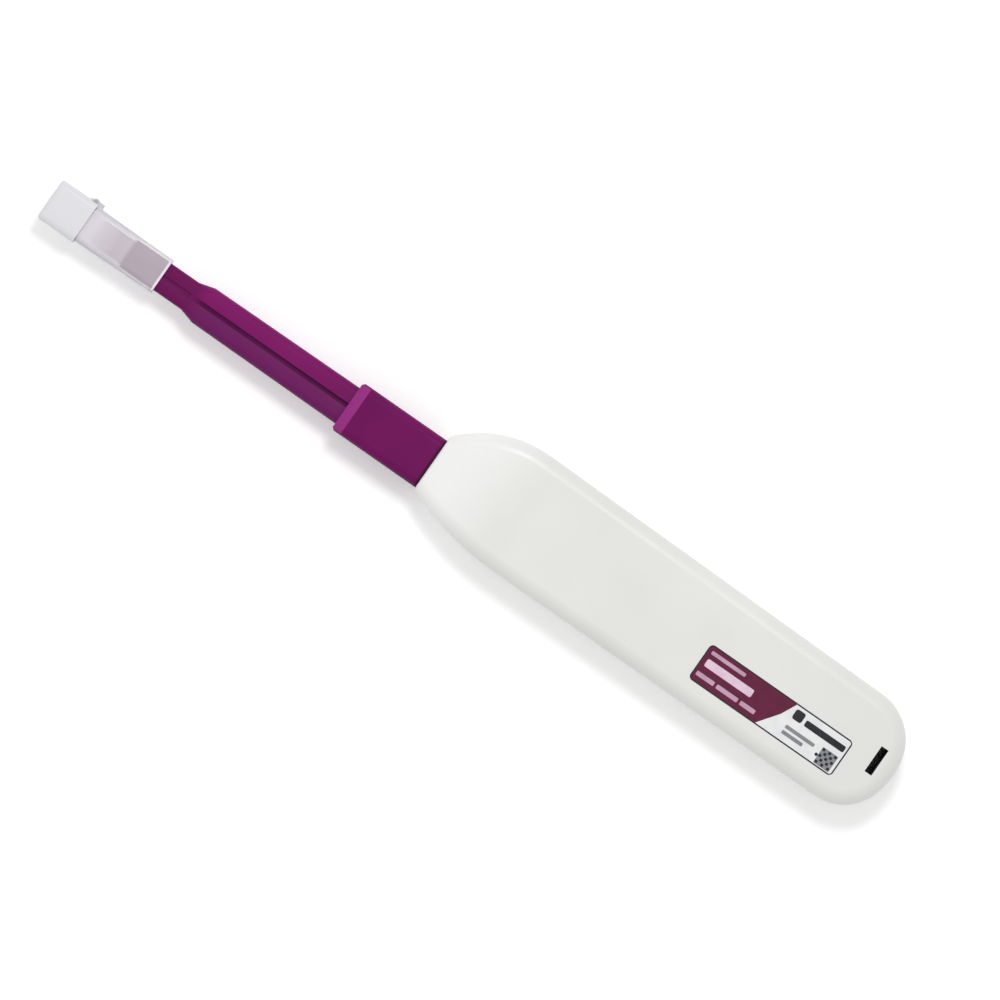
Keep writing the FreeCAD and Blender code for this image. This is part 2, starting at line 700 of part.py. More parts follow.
lower_half = join("Common", "lower_half", housing, lower_space)
lower_shell = join("MultiFuse", "lower_shell", lower_half, lip, rack, *pegs)
upper_half = join("Cut", "upper_half", housing, lower_space)
upper_cuts = join("MultiFuse", "upper_cuts", rebate, label_recess, *peg_holes)
upper_shell = join("Cut", "upper_shell", upper_half, upper_cuts)

label = new_body("label")
pad(label, "XY", "housing_height - label_depth", "label_thickness",
    lambda sketch: rounded(sketch, "label_x", "label_y", "label_length", "label_width", "label_corner"))


# ---------------------------------------------------------------- collar and nozzle

collar = new_body("nozzle_collar")
INNER_WIDTH = "(collar_width - 2 * collar_wall)"
INNER_HEIGHT = "(collar_height - 2 * collar_wall)"
pad(collar, "YZ", FLANGE_REAR, f"{COLLAR_FRONT} - {FLANGE_REAR}",
    lambda sketch: rounded(sketch, AXIS_Y, AXIS_Z, "collar_width", "collar_height", "collar_corner"))
pad(collar, "YZ", FLANGE_REAR, "flange_thickness",
    lambda sketch: rounded(sketch, AXIS_Y, AXIS_Z, "collar_width + 2 * flange_lip",
                           "collar_height + 2 * flange_lip", "collar_corner + flange_lip"))
cut(collar, "YZ", FLANGE_REAR, f"{THROAT_REAR} - {FLANGE_REAR}",
    lambda sketch: rounded(sketch, AXIS_Y, AXIS_Z, INNER_WIDTH, INNER_HEIGHT,
                           "collar_corner - collar_wall"))
cut(collar, "YZ", THROAT_REAR, "collar_front_wall",
    lambda sketch: rounded(sketch, AXIS_Y, AXIS_Z, "wide_rear_width + 2 * seat_fit",
                           "wide_rear_height + 2 * seat_fit", "wide_corner"))
for sign in (1, -1):
    edge_z = f"({AXIS_Z} + {sign} * collar_height / 2)"
    cut(collar, "XZ", f"{AXIS_Y} - collar_width", "2 * collar_width",
        lambda sketch: polygon(sketch, [(THROAT_REAR, edge_z), (f"{COLLAR_FRONT} + 0.1", edge_z),
                                        (f"{COLLAR_FRONT} + 0.1", f"{edge_z} - {sign} * bevel_drop")]))
    edge_y = f"({AXIS_Y} + {sign} * collar_width / 2)"
    cut(collar, "XY", f"{AXIS_Z} - collar_height", "2 * collar_height",
        lambda sketch: polygon(sketch, [(f"{COLLAR_FRONT} - bevel_side", edge_y),
                                        (f"{COLLAR_FRONT} + 0.1", edge_y),
                                        (f"{COLLAR_FRONT} + 0.1", f"{edge_y} - {sign} * bevel_side")]))

nozzle = new_body("nozzle")
pad(nozzle, "YZ", NOZZLE_REAR, "root_flange",
    lambda sketch: rounded(sketch, AXIS_Y, AXIS_Z, f"{INNER_WIDTH} - 2 * seat_fit",
                           f"{INNER_HEIGHT} - 2 * seat_fit", "collar_corner - collar_wall"))
pad(nozzle, "YZ", THROAT_REAR, "collar_front_wall",
    lambda sketch: rounded(sketch, AXIS_Y, AXIS_Z, "wide_rear_width", "wide_rear_height", "wide_corner"))
loft(nozzle, rounded, (COLLAR_FRONT, "wide_rear_width", "wide_rear_height", "wide_corner"),
     (WIDE_END, "wide_front_width", "wide_front_height", "wide_corner"))
loft(nozzle, rounded, (WIDE_END, "wide_front_width", "wide_front_height", "wide_corner"),
     (NECK_START, "neck_width", "neck_height", "neck_corner"))
pad(nozzle, "YZ", NECK_START, "neck_length",
    lambda sketch: rounded(sketch, AXIS_Y, AXIS_Z, "neck_width", "neck_height", "neck_corner"))
CHANNELS = {"left": f"({AXIS_Y} - channel_pitch / 2)", "right": f"({AXIS_Y} + channel_pitch / 2)"}
for channel_y in CHANNELS.values():
    pad(nozzle, "YZ", NECK_END, "tip_length - tip_chamfer",
        lambda sketch: circle(sketch, channel_y, AXIS_Z, "tip_radius"))
    loft(nozzle, lambda sketch, y, z, radius: circle(sketch, channel_y, z, radius),
         (f"{TIP_END} - tip_chamfer", "tip_radius"), (TIP_END, "tip_radius - tip_chamfer"))
for channel_y in CHANNELS.values():
    cut(nozzle, "YZ", NOZZLE_REAR, f"{TIP_END} - {NOZZLE_REAR}",
        lambda sketch: circle(sketch, channel_y, AXIS_Z, "channel_radius"))
for sign in (1, -1):
    for start, end, floor in ((COLLAR_FRONT, NECK_START, "wide_front_height / 2 - groove_depth"),
                              (NECK_START, CAP_REAR, "neck_height / 2 - neck_groove_depth")):
        cut(nozzle, "YZ", start, f"{end} - {start}",
            lambda sketch: centred(sketch, AXIS_Y, f"{AXIS_Z} + {sign} * (({floor}) + 2)",
                                   "groove_width", "4"))

# ---------------------------------------------------------------- guide cap and lid

RIM_WIDTH = "(bay_width + 2 * rim_wall)"
RIM_HEIGHT = "(bay_height + 4 * rim_wall)"
LID_WIDTH = f"({RIM_WIDTH} + 2 * lid_gap + 2 * lid_wall)"
LID_HEIGHT = f"({RIM_HEIGHT} + 2 * lid_gap + 2 * lid_wall)"
HINGE_X = f"({LID_REAR} + hinge_setback)"
HINGE_Y = f"({AXIS_Y} - {LID_WIDTH} / 2 - hinge_outset)"

cap = new_body("guide_cap")
loft(cap, rounded, (CAP_REAR, "cap_rear_width", "cap_rear_height", "cap_corner"),
     (CAP_FRONT, "cap_front_width", "cap_front_height", "cap_corner"))
pad(cap, "YZ", CAP_FRONT, "rim_length",
    lambda sketch: rounded(sketch, AXIS_Y, AXIS_Z, RIM_WIDTH, RIM_HEIGHT, "bay_corner + rim_wall"))
for sign in (1, -1):
    inner_face = f"({AXIS_Z} + {sign} * (knuckle_half_height + lug_gap + lug_thickness / 2))"

    def lug(sketch):
        """A lug's outline from the cap's front corner out to the hinge."""
        rectangle(sketch, f"{CAP_FRONT} - 1", HINGE_X, f"{HINGE_Y} - hinge_radius * 0.6",
                  f"{AXIS_Y} - {RIM_WIDTH} / 2 + 0.2")

    pad(cap, "XY", f"{inner_face} - lug_thickness / 2", "lug_thickness", lug)
    pad(cap, "XY", f"{inner_face} - lug_thickness / 2", "lug_thickness",
        lambda sketch: circle(sketch, HINGE_X, HINGE_Y, "hinge_radius"))
cut(cap, "YZ", CAP_REAR, f"{NECK_END} + 0.2 - {CAP_REAR}",
    lambda sketch: rounded(sketch, AXIS_Y, AXIS_Z, "neck_width + 2 * cap_fit", "neck_height + 2 * cap_fit",
                           "neck_corner + cap_fit"))
cut(cap, "YZ", f"{NECK_END} + 0.2", f"{CAP_FRONT} + rim_length - {NECK_END}",
    lambda sketch: rounded(sketch, AXIS_Y, AXIS_Z, "bay_width", "bay_height", "bay_corner"))
cut(cap, "XY", f"{AXIS_Z} - housing_height / 2", "housing_height",
    lambda sketch: circle(sketch, HINGE_X, HINGE_Y, "hinge_pin_radius"))

lid = new_body("cap_lid")
pad(lid, "YZ", LID_REAR, "lid_length",
    lambda sketch: rounded(sketch, AXIS_Y, AXIS_Z, LID_WIDTH, LID_HEIGHT, "lid_corner"))
lid_end = value(f"{LID_REAR} + lid_length")
dress(lid, "Fillet", "Radius", "lid_end_round",
      lambda edge: all(abs(vertex.X - lid_end) < 1e-4 for vertex in edge.Vertexes))
cut(lid, "YZ", LID_REAR, "lid_length - lid_wall",
    lambda sketch: rounded(sketch, AXIS_Y, AXIS_Z, f"{LID_WIDTH} - 2 * lid_wall",
                           f"{LID_HEIGHT} - 2 * lid_wall", "lid_corner - lid_wall"))
# The corner at the hinge is open, and the lid's knuckle stands in it between the cap's lugs.
NOTCH_X = f"({HINGE_X} + hinge_radius + 0.25)"
cut(lid, "XY", f"{AXIS_Z} - {LID_HEIGHT} / 2 + lid_wall", f"{LID_HEIGHT} - 2 * lid_wall",
    lambda sketch: rectangle(sketch, f"{LID_REAR} - 1", NOTCH_X, f"{HINGE_Y} - 2",
                             f"{AXIS_Y} - {LID_WIDTH} / 2 + lid_wall + 0.1"))
pad(lid, "XY", f"{AXIS_Z} - knuckle_half_height", "2 * knuckle_half_height",
    lambda sketch: circle(sketch, HINGE_X, HINGE_Y, "hinge_radius"))
pad(lid, "XY", f"{AXIS_Z} - knuckle_half_height", "2 * knuckle_half_height",
    lambda sketch: rectangle(sketch, HINGE_X, f"{NOTCH_X} + 0.5", f"{HINGE_Y} - hinge_radius * 0.4",
                             f"{AXIS_Y} - {LID_WIDTH} / 2 + lid_wall"))
cut(lid, "XY", f"{AXIS_Z} - knuckle_half_height - 1", "2 * knuckle_half_height + 2",
    lambda sketch: circle(sketch, HINGE_X, HINGE_Y, "hinge_pin_radius + hinge_fit"))

HINGE_HALF = "(knuckle_half_height + lug_gap + lug_thickness)"
lid_pin = rod("lid_pin", HINGE_X, HINGE_Y, f"{AXIS_Z} - {HINGE_HALF}", "hinge_pin_radius",
              f"2 * {HINGE_HALF}")

# ---------------------------------------------------------------- chassis, axles and pins


def plate_outline(sketch, rear, front, low, high):
    """A side plate with its four corners cut back."""
    trim = "2"
    polygon(sketch, [(f"{rear} + {trim}", low), (f"{front} - {trim}", low), (front, f"{low} + {trim}"),
                     (front, f"{high} - {trim}"), (f"{front} - {trim}", high), (f"{rear} + {trim}", high),
                     (rear, f"{high} - {trim}"), (rear, f"{low} + {trim}")])


PIN_PLACES = {
    "take_up_axle": (TAKE_UP_X, GEAR_Z, "axle_radius"),
    "supply_axle": (SUPPLY_X, AXIS_Z, "axle_radius"),
    "over_guide_pin": (OVER_PIN_X, OVER_PIN_Z, "guide_pin_radius"),
    "out_guide_pin": (INNER_PIN_X, OUT_PIN_Z, "guide_pin_radius"),
    "back_guide_pin": (INNER_PIN_X, BACK_PIN_Z, "guide_pin_radius"),
}
WALL_REAR = f"({FLANGE_REAR} - front_wall)"

chassis = new_body("chassis")
pad(chassis, "XZ", PLATE_Y, "plate_thickness",
    lambda sketch: rectangle(sketch, BULKHEAD_REAR, FLANGE_REAR, "chassis_bottom", "chassis_top"))
pad(chassis, "YZ", WALL_REAR, "front_wall",
    lambda sketch: rectangle(sketch, PLATE_Y, f"{PLATE_Y} + {CHASSIS_WIDTH}", "chassis_bottom",
                             "chassis_top"))
pad(chassis, "YZ", BULKHEAD_REAR, "bulkhead_thickness",
    lambda sketch: rectangle(sketch, PLATE_Y, f"{PLATE_Y} + {CHASSIS_WIDTH}",
                             "shell_wall + bulkhead_gap", "housing_height - shell_wall - bulkhead_gap"))
pad(chassis, "YZ", FLANGE_REAR, "flange_thickness + spigot_length",
    lambda sketch: rounded(sketch, AXIS_Y, AXIS_Z, f"{INNER_WIDTH} - 2 * seat_fit",
                           f"{INNER_HEIGHT} - 2 * seat_fit", "collar_corner - collar_wall"))
cut(chassis, "YZ", f"{WALL_REAR}", f"{SPIGOT_FRONT} - {WALL_REAR}",
    lambda sketch: centred(sketch, AXIS_Y, AXIS_Z, f"{INNER_WIDTH} - 2 * spigot_wall",
                           f"{INNER_HEIGHT} - 2 * spigot_wall"))
pad(chassis, "YZ", f"{SPIGOT_FRONT} - spigot_wall", "spigot_wall",
    lambda sketch: centred(sketch, AXIS_Y, AXIS_Z, f"{INNER_WIDTH} - spigot_wall",
                           "2 * bridge_half_height"))
pad(chassis, "YZ", f"{BULKHEAD_REAR} - spring_boss_length", "spring_boss_length",
    lambda sketch: circle(sketch, AXIS_Y, AXIS_Z, "spring_boss_radius"))
pad(chassis, "XZ", PLATE_FACE_Y, f"{AXIS_Y} - reel_half_width - axial_gap - {PLATE_FACE_Y}",
    lambda sketch: circle(sketch, SUPPLY_X, AXIS_Z, "2 * axle_radius"))
for channel_y in CHANNELS.values():
    cut(chassis, "YZ", f"{SPIGOT_FRONT} - spigot_wall", "spigot_wall",
        lambda sketch: circle(sketch, channel_y, AXIS_Z, "head_stem_radius + axle_fit"))
for x, z, radius in PIN_PLACES.values():
    cut(chassis, "XZ", PLATE_Y, f"{AXIS_Y} - {PLATE_Y}", lambda sketch: circle(sketch, x, z, radius))

cover = new_body("chassis_cover")
pad(cover, "XZ", COVER_Y, "plate_thickness",
    lambda sketch: plate_outline(sketch, BULKHEAD_FRONT, WALL_REAR, "chassis_bottom + cover_edge",
                                 "chassis_top"))
for x, z, radius in PIN_PLACES.values():
    cut(cover, "XZ", COVER_Y, "plate_thickness", lambda sketch: circle(sketch, x, z, radius))

pins = [rod(name, x, PLATE_Y, z, radius, CHASSIS_WIDTH, *ALONG_Y)
        for name, (x, z, radius) in PIN_PLACES.items()]

# ---------------------------------------------------------------- reels, rolls and drive gear
# Each is turned about its own Z axis, which then lies along Y with its foot at the -Y side.

GROOVE_HALF = "(channel_pitch / 2 - flange_disc / 2)"


def reel_profile(radius):
    """Half of a reel's section: three flanges on a hub, with a boss to the +Y side."""
    bore = "axle_radius + axle_fit"
    low, high = "0", "2 * reel_half_width"
    middle = "reel_half_width"
    return [(bore, low), (radius, low), (radius, "flange_disc"), ("hub_radius", "flange_disc"),
            ("hub_radius", f"{middle} - flange_disc / 2"), (radius, f"{middle} - flange_disc / 2"),
            (radius, f"{middle} + flange_disc / 2"), ("hub_radius", f"{middle} + flange_disc / 2"),
            ("hub_radius", f"{high} - flange_disc"), (radius, f"{high} - flange_disc"), (radius, high),
            ("hub_radius", high), ("hub_radius", f"{high} + 0.5"), (bore, f"{high} + 0.5")]


def thread_roll(name, x, z, radius):
    """The wound thread in a reel's two grooves, one ring in each."""
    roll = new_body(name)
    for start in ("flange_disc", "reel_half_width + flange_disc / 2"):
        pad(roll, "XY", start, "reel_half_width - 1.5 * flange_disc",
            lambda sketch: (circle(sketch, "0", "0", radius), circle(sketch, "0", "0", "hub_radius")))
    place(roll, x, f"{AXIS_Y} - reel_half_width", z, *ALONG_Y)
    return roll


supply_reel = new_body("supply_reel")
revolve(supply_reel, reel_profile("supply_radius"))
place(supply_reel, SUPPLY_X, f"{AXIS_Y} - reel_half_width", AXIS_Z, *ALONG_Y)
supply_roll = thread_roll("supply_roll", SUPPLY_X, AXIS_Z, "supply_roll_radius")

take_up_reel = new_body("take_up_reel")
revolve(take_up_reel, reel_profile("take_up_radius"))
pad(take_up_reel, "XY", "-ratchet_depth", "ratchet_depth",
    lambda sketch: (circle(sketch, "0", "0", "take_up_radius"),
                    circle(sketch, "0", "0", "take_up_radius - ratchet_wall")))


def ratchet_tooth(sketch):
    """One saw tooth inside the ratchet ring: a steep face for the pawls and a long back."""
    root = "(take_up_radius - ratchet_wall)"
    step = "(360 / ratchet_teeth)"
    polygon(sketch, [(f"{root} + 0.1", "0"), (f"{root} - ratchet_tooth", "0"),
                     (f"{root} * cos({step} * 0.8)", f"-{root} * sin({step} * 0.8)"),
                     (f"({root} + 0.1) * cos({step} * 0.8)", f"-({root} + 0.1) * sin({step} * 0.8)")])


around(take_up_reel, pad(take_up_reel, "XY", "-ratchet_depth", "ratchet_depth", ratchet_tooth),
       "ratchet_teeth")
place(take_up_reel, TAKE_UP_X, f"{AXIS_Y} - reel_half_width", GEAR_Z, *ALONG_Y)
take_up_roll = thread_roll("take_up_roll", TAKE_UP_X, GEAR_Z, "take_up_roll_radius")

gear = new_body("drive_gear")
gear_root = f"({GEAR_RADIUS} - 1.25 * gear_module)"
pad(gear, "XY", "0", "gear_width", lambda sketch: circle(sketch, "0", "0", gear_root))


def gear_tooth(sketch):
    """The gear tooth that points down at the rack, its flanks bowed a little like an involute."""
    pitch_half = "(pi * gear_module / 4 - tooth_backlash / 2)"
    flank = [("0.84 * gear_module", f"{gear_root} - 0.1"), ("0.84 * gear_module", f"{gear_root} + 0.15"),
             (pitch_half, GEAR_RADIUS), ("0.34 * gear_module", f"{GEAR_RADIUS} + 0.85 * gear_module")]
    polygon(sketch, flank + [(f"-{half}", up) for half, up in reversed(flank)])


teeth = pad(gear, "XY", "0", "gear_width", gear_tooth)
around(gear, teeth, "gear_teeth")
pad(gear, "XY", "gear_width", "ratchet_depth",
    lambda sketch: circle(sketch, "0", "0", "hub_radius"))


def pawl_arm(sketch):
    """A springy arm from the hub that leans round to a ratchet tooth."""
    reach = "(take_up_radius - ratchet_wall - ratchet_tooth - pawl_gap)"
    polygon(sketch, [("0.5", "hub_radius - 0.4"), ("0.5 + pawl_width", "hub_radius - 0.4"),
                     (f"{reach} * cos(38)", f"{reach} * sin(38) - 0.15"),
                     (f"{reach} * cos(44)", f"{reach} * sin(44)"),
                     (f"{reach} * cos(50) - pawl_width * 0.6", f"{reach} * sin(50) - 0.35")])


around(gear, pad(gear, "XY", "gear_width", "ratchet_depth - 0.1", pawl_arm), "pawl_count")
cut(gear, "XY", "-1", "gear_width + ratchet_depth + 2",
    lambda sketch: circle(sketch, "0", "0", "axle_radius + axle_fit"))
place(gear, TAKE_UP_X, GEAR_Y, GEAR_Z, *ALONG_Y)

# ---------------------------------------------------------------- cleaning heads and threads

for side, channel_y in CHANNELS.items():
    head = new_body(f"head_{side}")
    pad(head, "XZ", f"{channel_y} - head_width / 2", "head_width",
        lambda sketch: rectangle(sketch, HEAD_REAR, HEAD_NOSE_X, f"{AXIS_Z} - head_half_thickness",
                                 f"{AXIS_Z} + head_half_thickness"))
    pad(head, "XZ", f"{channel_y} - head_width / 2", "head_width",
        lambda sketch: circle(sketch, HEAD_NOSE_X, AXIS_Z, "head_half_thickness"))
    pad(head, "YZ", HEAD_REAR, "head_collar_length",
        lambda sketch: circle(sketch, channel_y, AXIS_Z, "head_collar_radius"))
    pad(head, "YZ", f"{HEAD_REAR} - head_spring_length - 2", "head_spring_length + 2",
        lambda sketch: circle(sketch, channel_y, AXIS_Z, "head_stem_radius"))


def coil(name, radius, wire, turns, length):
    """A helical wire spring along its own Z axis, from its foot at the origin."""
    steps = 10
    count = round(turns * steps)
    rise = (length - 2 * wire) / count
    points = [V(radius * math.cos(2 * math.pi * step / steps), radius * math.sin(2 * math.pi * step / steps),
                wire + rise * step) for step in range(count + 1)]
    section_plane = FreeCAD.Rotation(V(0, 0, 1), points[1] - points[0])
    section = Part.makePolygon([points[0] + section_plane.multVec(
        V(wire * math.cos(math.pi * corner / 3), wire * math.sin(math.pi * corner / 3), 0))
        for corner in range(7)])
    sweep = Part.BRepOffsetAPI.MakePipeShell(Part.makePolygon(points))
    sweep.setTransitionMode(1)
    sweep.add(section)
    sweep.build()
    sweep.makeSolid()
    spring = doc.addObject("Part::Feature", name)
    spring.Label = name
    spring.Shape = sweep.shape()
    return spring


return_spring = coil("return_spring", value("spring_radius"), value("spring_wire"),
                     value("spring_turns"), value("spring_length"))
place(return_spring, SPRING_REAR, AXIS_Y, AXIS_Z, *ALONG_X)
for side, channel_y in CHANNELS.items():
    head_spring = coil(f"head_spring_{side}", value("head_spring_radius"), value("head_spring_wire"),
                       value("head_spring_turns"), value("head_spring_length"))
    place(head_spring, SPIGOT_FRONT, channel_y, AXIS_Z, *ALONG_X)


def thread_path(sketch):
    """From the supply roll, over and under the guide pins, round a head's nose and back."""
    wheels = [  # centre x, centre z, radius, and the side that the thread turns to (+1 is left)
        (OVER_PIN_X, OVER_PIN_Z, PIN_BEND, -1),
        (INNER_PIN_X, OUT_PIN_Z, PIN_BEND, 1),
        (NOZZLE_REAR, f"{AXIS_Z} + {THREAD_OUT} + bend_radius", "bend_radius", 1),
        (HEAD_NOSE_X, AXIS_Z, THREAD_OUT, -1),
        (NOZZLE_REAR, f"{AXIS_Z} - {THREAD_OUT} - bend_radius", "bend_radius", 1),
        (INNER_PIN_X, BACK_PIN_Z, PIN_BEND, -1),
        (TAKE_UP_X, GEAR_Z, "(take_up_roll_radius + thread_radius)", 1),
    ]
    discs = [(V(value(x), value(z), 0), value(radius), turn) for x, z, radius, turn in wheels]
    start = V(value(SUPPLY_X), value(OUT_Z), 0)
    touches = [(start, V(discs[0][0].x, discs[0][0].y + discs[0][1], 0))]
    for (c0, r0, turn0), (c1, r1, turn1) in zip(discs, discs[1:]):
        gap = c1 - c0
        lean = math.asin((turn0 * r0 - turn1 * r1) / gap.Length)
        heading = math.atan2(gap.y, gap.x) + lean
        normal = V(-math.sin(heading), math.cos(heading), 0)
        touches.append((c0 - normal * (turn0 * r0), c1 - normal * (turn1 * r1)))
    end = V(discs[-1][0].x, discs[-1][0].y + discs[-1][1], 0)
    for index, (leave, meet) in enumerate(touches):
        sketch.addGeometry(Part.LineSegment(leave, meet), False)
        centre, radius, turn = discs[index]
        onward = touches[index + 1][0] if index + 1 < len(touches) else end
        angles = [math.atan2((point - centre).y, (point - centre).x) for point in (meet, onward)]
        if turn < 0:
            angles.reverse()
        sketch.addGeometry(Part.ArcOfCircle(Part.Circle(centre, V(0, 0, 1), radius), *angles), False)
    for index, (x, z, radius, turn) in enumerate(wheels):
        line, bend = 2 * index, 2 * index + 1
        into, out_of = (1, 2) if turn > 0 else (2, 1)
        sketch.addConstraint(Constraint("Tangent", line, 2, bend, into))
        if index + 1 < len(wheels):
            sketch.addConstraint(Constraint("Tangent", bend, out_of, line + 2, 1))
        else:
            fix_point(sketch, bend, out_of, x=x)
        fix(sketch, "Radius", radius, bend)
        if radius == "bend_radius":
            fix_point(sketch, bend, 3, x=x)
        else:
            fix_point(sketch, bend, 3, x, z)
    fix_point(sketch, 0, 1, x=SUPPLY_X)
    for level in (0, 6, 8):
        sketch.addConstraint(Constraint("Horizontal", level))


for side, channel_y in CHANNELS.items():
    thread = new_body(f"cleaning_thread_{side}")
    spine = new_sketch(thread, "XZ", channel_y)
    thread_path(spine)
    section = new_sketch(thread, "YZ", SUPPLY_X)
    polygon(section, [(f"{channel_y} + thread_radius * cos({60 * corner})",
                       f"{OUT_Z} + thread_radius * sin({60 * corner})") for corner in range(6)])
    pipe = thread.newObject("PartDesign::AdditivePipe", f"{thread.Label}_pipe")
    pipe.Profile = section
    pipe.Spine = (spine, [])
    pipe.Transition = "Transformed"

doc.recompute()

# ---------------------------------------------------------------- checks and files

NODES = [
    "lower_shell", "upper_shell", "label", "return_spring",
    "nozzle_collar", "nozzle", "chassis", "chassis_cover", *PIN_PLACES,
    "head_spring_left", "head_spring_right", "cleaning_thread_left", "cleaning_thread_right",
    "drive_gear", "take_up_reel", "take_up_roll", "supply_reel", "supply_roll",
    "head_left", "head_right", "guide_cap", "cap_lid", "lid_pin",
]


def check_document():
    """Stop if any object failed, or a cut took nothing away."""
    for item in doc.Objects:
        if "Invalid" in item.State or "Error" in item.State:
            raise RuntimeError(f"{item.Label} failed: {item.State}")
        if item.TypeId == "PartDesign::Pocket" and item.BaseFeature:
            if item.Shape.Volume > item.BaseFeature.Shape.Volume - 1e-4:
                raise RuntimeError(f"{item.Label} cuts nothing")


def export_pieces():
    """Write each piece's solids to its own file."""
    os.makedirs("parts", exist_ok=True)
    for name in NODES:
        piece = doc.getObjectsByLabel(name)[0]
        shape = piece.Shape
        if shape.isNull() or not shape.isValid() or not shape.Solids:
            raise RuntimeError(f"{name} has no valid solid")
        shape.exportStep(f"parts/{name}.step")
        box = shape.BoundBox
        print(f"{name}: {len(shape.Solids)} solid, {shape.Volume:.1f} mm3, "
              f"x {box.XMin:.2f} to {box.XMax:.2f}, y {box.YMin:.2f} to {box.YMax:.2f}, "
              f"z {box.ZMin:.2f} to {box.ZMax:.2f}")


check_document()
export_pieces()
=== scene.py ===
"""Fibre connector cleaning pen: finishes, printed label, softened mouldings, springs, studio and camera."""

import json
import logging
import math
from collections.abc import Callable
from dataclasses import dataclass, field
from enum import Enum
from typing import Any

import bpy
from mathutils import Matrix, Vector

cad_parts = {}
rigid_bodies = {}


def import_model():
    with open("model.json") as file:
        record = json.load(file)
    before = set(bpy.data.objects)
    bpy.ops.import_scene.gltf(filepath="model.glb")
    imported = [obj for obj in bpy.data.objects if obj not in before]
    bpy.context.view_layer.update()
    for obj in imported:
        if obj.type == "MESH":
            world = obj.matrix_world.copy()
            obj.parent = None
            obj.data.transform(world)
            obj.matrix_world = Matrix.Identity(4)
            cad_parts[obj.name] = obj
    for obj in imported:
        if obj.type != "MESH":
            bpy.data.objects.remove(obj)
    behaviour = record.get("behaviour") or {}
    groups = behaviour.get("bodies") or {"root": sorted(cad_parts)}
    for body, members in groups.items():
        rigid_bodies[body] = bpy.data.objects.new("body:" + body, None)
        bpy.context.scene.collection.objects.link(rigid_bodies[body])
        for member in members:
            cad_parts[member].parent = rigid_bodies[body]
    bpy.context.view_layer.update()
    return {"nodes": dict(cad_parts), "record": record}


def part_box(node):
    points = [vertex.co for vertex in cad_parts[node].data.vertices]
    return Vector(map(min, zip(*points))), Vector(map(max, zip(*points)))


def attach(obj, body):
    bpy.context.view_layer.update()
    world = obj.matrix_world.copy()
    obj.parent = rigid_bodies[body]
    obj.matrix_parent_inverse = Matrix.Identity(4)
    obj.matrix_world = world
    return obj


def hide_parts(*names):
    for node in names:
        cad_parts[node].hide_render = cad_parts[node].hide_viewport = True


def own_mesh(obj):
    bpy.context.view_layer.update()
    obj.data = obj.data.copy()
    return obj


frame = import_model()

log = logging.getLogger("cleaning_pen")
MM = 0.001
FLAT_DEGREES = 0.5
SHARP_DEGREES = 40.0
ROUND_STEPS = 3
CORNER_STEPS = 5


class Body(str, Enum):
    """The bodies that new pieces ride on."""

    HOUSING = "housing"
    CARRIAGE = "carriage"
    CAP = "guide_cap"
    LID = "cap_lid"


# ---------------------------------------------------------------- material helpers


def linear(colour: str) -> tuple[float, float, float, float]:
    """Turn an sRGB hex colour to linear light.

    Args:
        colour: Six hex digits, with or without a leading hash.

    Returns:
        Red, green, blue and an alpha of one.
    """
    digits = colour.lstrip("#")
    parts = [int(digits[start:start + 2], 16) / 255 for start in (0, 2, 4)]
    red, green, blue = [part / 12.92 if part <= 0.04045 else ((part + 0.055) / 1.055) ** 2.4
                        for part in parts]
    return red, green, blue, 1.0


def per_metre(size_mm: float) -> float:
    """The scale of a pattern whose features are this many millimetres across."""
    return 1 / (size_mm * MM)


def add(tree: bpy.types.NodeTree, kind: str, inputs: dict[Any, Any] | None = None,
        **settings: Any) -> bpy.types.Node:
    """Add a node with its settings, constants and links.

    Args:
        tree: The node tree that it joins.
        kind: The node's type name.
        inputs: A socket to link from, or a constant, by input name or index.
        settings: The node's own properties.

    Returns:
        The new node.
    """
    node = tree.nodes.new(kind)
    for name, value in settings.items():
        setattr(node, name, value)
    for name, value in (inputs or {}).items():
        if isinstance(value, bpy.types.NodeSocket):
            tree.links.new(value, node.inputs[name])
        else:
            node.inputs[name].default_value = value
    return node


def empty_material(name: str) -> tuple[bpy.types.Material, bpy.types.NodeTree]:
    """Start a material from nothing.

    Args:
        name: What it is called.

    Returns:
        The material and its empty node tree.
    """
    material = bpy.data.materials.new(name)
    material.use_nodes = True
    material.node_tree.nodes.clear()
    return material, material.node_tree


def place_on_object(tree: bpy.types.NodeTree) -> bpy.types.NodeSocket:
    """Each point's place in the object's own frame."""
    return add(tree, "ShaderNodeTexCoord").outputs["Object"]


def mixed_colour(tree: bpy.types.NodeTree, share: Any, first: Any, second: Any) -> bpy.types.NodeSocket:
    """Blend two colours.

    Args:
        tree: The node tree.
        share: How much of the second, as a socket or a number.
        first: A colour or a colour socket.
        second: A colour or a colour socket.

    Returns:
        The blended colour's socket.
    """
    node = add(tree, "ShaderNodeMix", {0: share, 6: first, 7: second}, data_type="RGBA")
    return node.outputs[2]


def remapped(tree: bpy.types.NodeTree, value: bpy.types.NodeSocket, low: float, high: float,
             new_low: float, new_high: float) -> bpy.types.NodeSocket:
    """Move a value from one range to another, and hold it inside.

    Args:
        tree: The node tree.
        value: The value's socket.
        low: The first range's start.
        high: The first range's end.
        new_low: What the start becomes.
        new_high: What the end becomes.

    Returns:
        The moved value's socket.
    """
    node = add(tree, "ShaderNodeMapRange", {0: value, 1: low, 2: high, 3: new_low, 4: new_high})
    return node.outputs[0]


def finish_tree(tree: bpy.types.NodeTree, surface: bpy.types.NodeSocket) -> None:
    """Join a shader to the material's output."""
    add(tree, "ShaderNodeOutputMaterial", {"Surface": surface})


# ---------------------------------------------------------------- finishes


